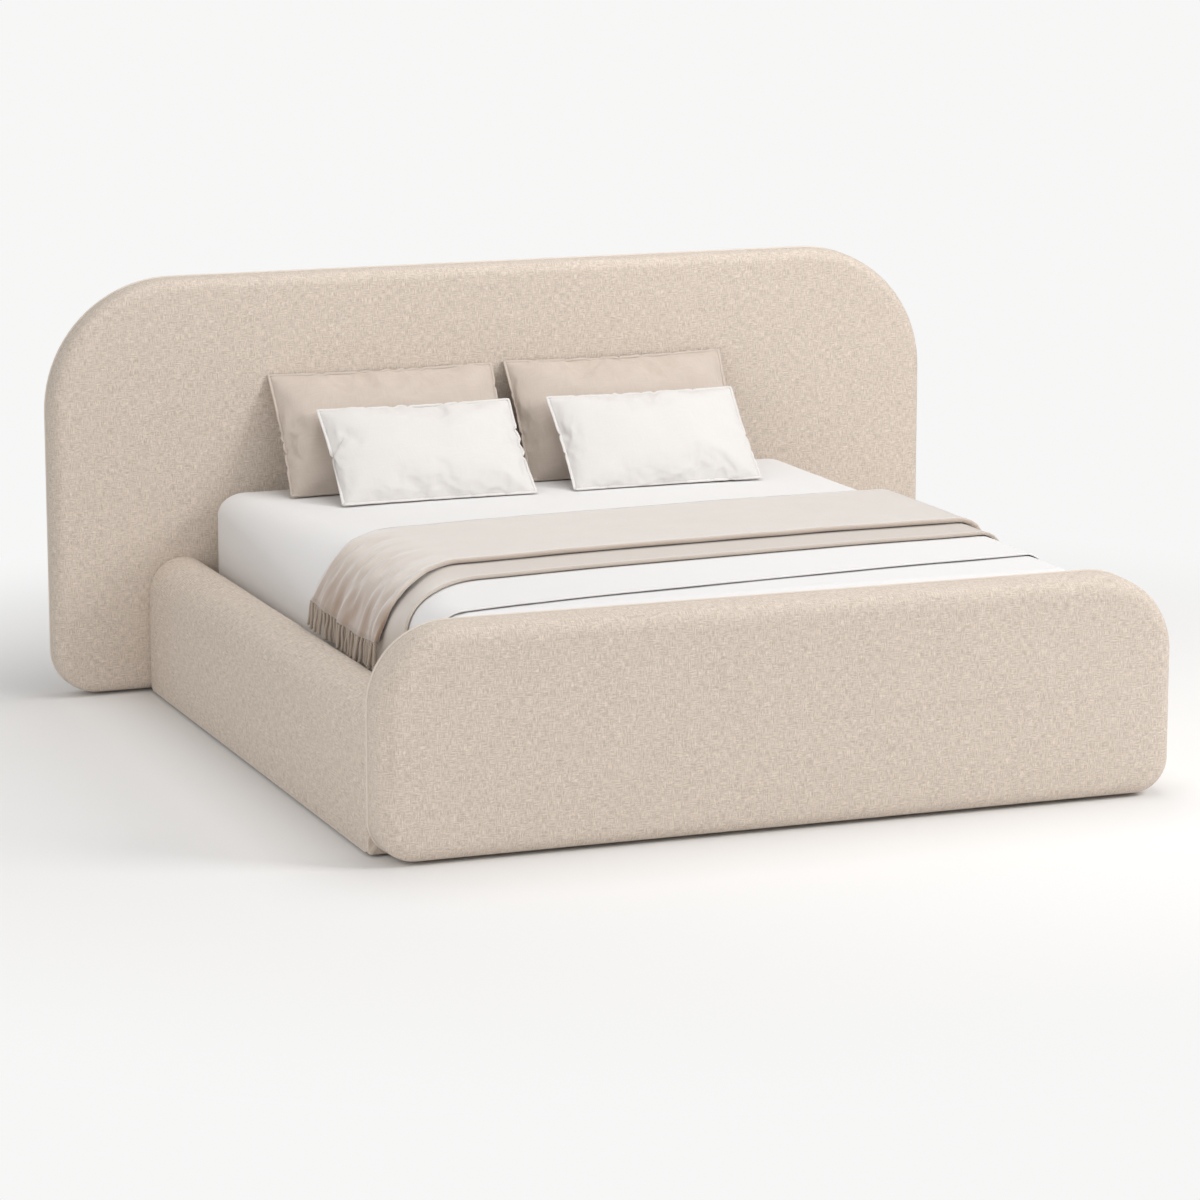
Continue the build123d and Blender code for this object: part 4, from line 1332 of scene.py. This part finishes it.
    def puff(self, piece: Object) -> None:
        for vert in piece.data.vertices:
            u, v = 2 * vert.co.x / self.width, 2 * vert.co.y / self.height
            swell = max((1 - abs(u) ** 2.6) * (1 - abs(v) ** 2.2), 0.0) ** 0.55
            vert.co.z = math.copysign(self.thickness / 2 * swell, vert.co.z)
            vert.co.x *= 1 - 0.03 * (1 - v * v)
            vert.co.y *= 1 - 0.05 * (1 - u * u)

    def fit(self, piece: Object) -> None:
        """Scale the shape to its size, lean it back and seat it on the bed."""
        verts = piece.data.vertices
        lines = [[vert.co[axis] for vert in verts] for axis in range(3)]
        spans = [(min(values), max(values)) for values in lines]
        wanted = (self.width, self.height, self.thickness)
        low, high = box(self.node)
        turn = self.turn
        points = [turn @ Vector((
            (vert.co[axis] - sum(spans[axis]) / 2) * wanted[axis]
            / (spans[axis][1] - spans[axis][0]) for axis in range(3))) for vert in verts]
        move = Vector(((low.x + high.x) / 2 + self.nudge[0],
                       high.y - max(p.y for p in points) + self.nudge[1],
                       self.rest_height - min(p.z for p in points) - self.sink))
        floor = self.rest_height + self.clearance
        for vert, place in zip(verts, points):
            place += move
            if place.z < floor:
                place.z = floor + self.squash * (place.z - self.rest_height)
                place.z = max(place.z, self.rest_height + self.clearance / 2)
            place.y = min(place.y, self.back_limit)
            vert.co = place

    def sew_flange(self, piece: Object, rim: list[int]) -> Object:
        """Return a flat sewn edge that runs round the pillow's rim."""
        verts = piece.data.vertices
        centre = sum((vert.co for vert in verts), Vector()) / len(verts)
        across = self.turn @ Vector((0, 0, 1))
        count = len(rim)
        shoulder = self.flange * 0.8
        profile = ((-self.flange_inset, 1), (shoulder, 1), (self.flange, 0), (shoulder, -1),
                   (-self.flange_inset, -1))
        rings = []
        for number in range(count):
            here = verts[rim[number]].co
            along = verts[rim[(number + 1) % count]].co - verts[rim[number - 1]].co
            out = along.normalized().cross(across).normalized()
            if out.dot(here - centre) < 0:
                out = -out
            ring = [here + out * reach + across * self.flange_half * face
                    for reach, face in profile]
            low = min(place.z for place in ring)
            for place in ring:
                place.z += max(self.rest_height + self.flange_gap - low, 0.0)
                place.y = min(place.y, self.back_limit)
            rings.append(ring)
        rings.append([place.copy() for place in rings[0]])
        uvs = [[(number * self.pitch, k * 0.004) for k in range(6)]
               for number in range(count + 1)]
        edge = loft(self.node.replace("cover", "flange"), rings, uvs, caps=False)
        tell_outwards(edge.data, WELD)
        return edge

    def stuff(self, piece: Object) -> None:
        """Fill the cover with fibre that has the cover's own shape, a little smaller."""
        name = self.node.replace("cover", "filling")
        mesh = piece.data.copy()
        mesh.name = f"{name}_fibre"
        inward = [vert.co - vert.normal * self.skin for vert in piece.data.vertices]
        for vert, place in zip(mesh.vertices, inward):
            vert.co = place
        fibre = dress(add_object(f"{name}_fibre", mesh), FIBRE, "cushion_fibre", self.body)
        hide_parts(name)

    def build(self) -> None:
        """Build the pillow, its flange and its filling."""
        piece, rim = self.blank()
        self.inflate(piece)
        self.straighten(piece)
        self.fit(piece)
        edge = self.sew_flange(piece, rim)
        self.stuff(piece)
        finer = piece.modifiers.new("smooth", "SUBSURF")
        finer.levels = finer.render_levels = 1
        for part in (piece, edge):
            dress(part, self.finish, self.slot, self.body)
        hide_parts(self.node)


@dataclass
class Bedding:
    """The mattress and all that is laid over it."""

    crown: float = 0.004
    edge_round: float = 0.070
    base_round: float = 0.040
    corner_radius: float = 0.075
    fringe_count: int = 29
    fringe_length: float = 0.072
    fringe_ply: float = 0.0027
    fringe_tilt: float = 0.10

    def place_along(self, distance: float) -> float:
        """Return the y of a place that lies distance behind the footboard's front face."""
        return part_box("footboard_cover")[0][1] + distance

    def build(self) -> None:
        """Build the mattress, the two sheets, the coverlet and the throw."""
        low, high = box("mattress_fitted_sheet")
        at = self.place_along
        section = BedSection((high.x - low.x) / 2, high.z, low.z, self.edge_round,
                             self.crown, high.y, at(0.85), (at(0.33), at(0.74)))
        for name, nodes, slot, finish in (
            ("mattress_sheet_cover", ("mattress_fitted_sheet",), "white_cotton", SHEETING),
            ("mattress_ticking_cover", ("mattress_ticking",), "mattress_ticking", KNIT),
            ("mattress_foam_case", ("mattress_wall_foam", "mattress_top_foam"), "seat_foam",
             FOAM),
        ):
            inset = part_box(nodes[0])[0][0] - low.x
            SoftBlock(
                name, nodes, "mattress", slot, finish, self.corner_radius - inset,
                self.edge_round - inset,
                base_round=0.0008 if len(nodes) > 1 else self.base_round - inset,
                softness=0.0 if inset > 0.0001 else 0.0008, section=section,
                seed=2.0).build()
        top_sheet = BedLayer(
            "top_sheet", SHEETING, "white_cotton", section, 0.0014, 0.0050, 0.0014,
            at(0.325), at(1.25), 0.19, 0.08, skew=0.10, left_drift=0.03, curl=0.0024,
            seed=21.0)
        coverlet = BedLayer(
            "coverlet", COVERLET, "coverlet_cloth", section, 0.0070, 0.0092, 0.0022,
            at(0.630), at(1.26), 0.21, 0.08, wrinkle=0.0008, skew=0.065, curl=0.0030,
            seed=31.0)
        throw = BedLayer(
            "throw", THROW, "throw_wool", section, 0.0168, 0.0130, 0.0030,
            at(0.788), at(1.302), 0.148, 0.50, fold_depth=0.011, fold_size=0.045,
            wrinkle=0.0018, drag=0.006, left_drift=0.22, flare=-0.03, curl=0.0042, seed=41.0)
        for layer in (top_sheet, coverlet):
            layer.declare(layer.build(), [])
        cloth = throw.build()
        throw.declare(cloth, [self.fringe(throw, side, name)
                              for side, name in ((-1, "left"), (1, "right"))])

    def fringe(self, throw: BedLayer, side: int, name: str) -> Object:
        """Hang twisted strands from one end of the throw and return them."""
        tree = fringe_tree(self.fringe_count, self.fringe_length, self.fringe_ply,
                           -side * self.fringe_tilt, 5 + side)
        piece = tree.run(f"throw_fringe_strands_{name}", throw.hem_line(side), False, STRANDS,
                         "throw_wool", "mattress")
        if side < 0:
            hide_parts("throw_fringe")
        return piece


@dataclass
class Studio:
    """Plain pale floor, soft light and the camera at the photograph's angle."""

    camera_place: tuple = (-4.437, -11.3745, 2.858)
    azimuth: float = 20.93
    pitch: float = 11.42
    lens: float = 135.0
    sensor: float = 36.0
    floor_reach: float = 40.0
    fade_span: tuple = (1.6, 3.4)
    matt: tuple = (0.88, 0.875, 0.87, 1.0)
    white: tuple = (0.93, 0.928, 0.925, 1)
    room: tuple = (1.0, 0.985, 0.97, 1)
    room_power: float = 0.50
    lamps: tuple = (
        ("key", (4.8, -4.2, 4.2), (0, 0, 0.4), 2.6, 234),
        ("top", (0.6, 0.0, 4.6), (0, 0, 0.4), 3.0, 72),
        ("fill", (-5.2, -3.6, 2.6), (0, 0, 0.3), 3.5, 76),
    )

    def camera(self) -> None:
        """Make the camera and set it as the scene's own."""
        data = bpy.data.cameras.new("view")
        data.lens = self.lens
        data.sensor_width = self.sensor
        thing = add_object("view", data)
        thing.location = self.camera_place
        thing.rotation_euler = (
            math.radians(90 - self.pitch), 0.0, -math.radians(self.azimuth))
        bpy.context.scene.camera = thing

    def floor(self) -> None:
        """Lay a white floor that fades to plain white away from the bed."""
        mesh = bpy.data.meshes.new("studio_floor")
        far = self.floor_reach
        mesh.from_pydata([(-far, -far, 0), (far, -far, 0), (far, far, 0), (-far, far, 0)],
                         [], [(0, 1, 2, 3)])
        thing = add_object("studio_floor", mesh)
        graph = Graph(bpy.data.materials.new("studio_floor"))
        away = graph.add("VectorMath", {0: graph.place(Layout.SOLID)}, operation="LENGTH")
        fade = graph.spread(away.outputs["Value"], *self.fade_span, interpolation="SMOOTHSTEP")
        path = graph.add("LightPath")
        seen = graph.calc(
            "MAXIMUM", path.outputs["Is Camera Ray"], path.outputs["Is Glossy Ray"])
        matt = graph.add("BsdfDiffuse", {"Color": self.matt})
        white = graph.add("Emission", {"Color": self.white, "Strength": 1.0})
        shader = graph.add(
            "MixShader", {0: graph.calc("MULTIPLY", fade, seen), 1: matt, 2: white})
        thing.data.materials.append(graph.end("Material", shader))

    def lamp(self, name: str, place: tuple, target: tuple, size: float, power: float) -> None:
        """Hang one soft square lamp that looks at a target."""
        data = bpy.data.lights.new(name, "AREA")
        data.shape = "SQUARE"
        data.size = size
        data.energy = power
        thing = add_object(name, data)
        thing.location = place
        thing.rotation_euler = (
            Vector(target) - Vector(place)).to_track_quat("-Z", "Y").to_euler()

    def world(self) -> None:
        """Light the room evenly, and show white behind everything."""
        graph = Graph(bpy.data.worlds.new("studio_room"))
        path = graph.add("LightPath")
        seen = graph.calc(
            "MAXIMUM", path.outputs["Is Camera Ray"], path.outputs["Is Transmission Ray"])
        room = graph.add("Background", {0: self.room, 1: self.room_power})
        white = graph.add("Background", {0: self.white, 1: 1.0})
        bpy.context.scene.world = graph.end(
            "World", graph.add("MixShader", {0: seen, 1: room, 2: white}))

    def build(self) -> None:
        """Set up camera, floor, lamps and room."""
        bpy.context.scene.view_settings.view_transform = "Standard"
        self.camera()
        self.floor()
        for lamp in self.lamps:
            self.lamp(*lamp)
        self.world()


def dress_cad_nodes() -> None:
    """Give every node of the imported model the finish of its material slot, without a UV map."""
    slots = {row["node"]: row["material_slot"] for row in frame["record"]["subparts"]}
    for name, thing in frame["nodes"].items():
        finish = CAD_FINISHES[slots[name]]
        if isinstance(finish, ClothFinish) and finish.layout is not Layout.SOLID:
            finish = replace(finish, name=finish.name + "_solid", layout=Layout.SOLID)
        thing.data.materials.clear()
        thing.data.materials.append(material_of(finish))


def build_pillows() -> None:
    """Make the two pillows and the two cushions that lean on them."""
    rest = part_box("mattress_fitted_sheet")[1][2] + 0.0045
    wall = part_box("headboard_cover")[0][1] - 0.0045
    for name, seed in (("left", 3), ("right", 8)):
        Pillow(f"pillow_cover_{name}", f"pillow_{name}", TAUPE, "taupe_linen",
               0.680, 0.395, 0.150, 34.0, rest, wall, seed=seed).build()
        Pillow(f"cushion_cover_{name}", f"cushion_{name}", WHITE_LINEN, "white_linen",
               0.580, 0.340, 0.120, 45.0, rest, wall, nudge=(0.008, -0.006),
               seed=seed + 20).build()


def main() -> None:
    """Build every piece."""
    logging.basicConfig(level=logging.INFO, format="%(name)s: %(message)s")
    dress_cad_nodes()
    Studio().build()
    EndBoard("headboard", 0.375, 0.125, 0.034, 0.012, 0.003, window=0.080, seed=3.0).build()
    EndBoard("footboard", 0.208, 0.095, 0.046, 0.024, 0.004, seed=6.0).build()
    BackCloth("headboard_back_cloth", True, 0.275, 0.045).build()
    BackCloth("footboard_base_cloth", False, 0.004, 0.004).build()
    for side in (-1, 1):
        SideRail(side).build()
    for name in ("left", "right"):
        SoftBlock(f"spring_box_cover_{name}", (f"spring_box_ticking_{name}",), "spring_base",
                  "spring_box_ticking", TICKING, 0.024, 0.010, puff=0.0, softness=0.0004,
                  piped=True, seed=7.0).build()
    Bedding().build()
    build_pillows()


if __name__ == "__main__":
    main()
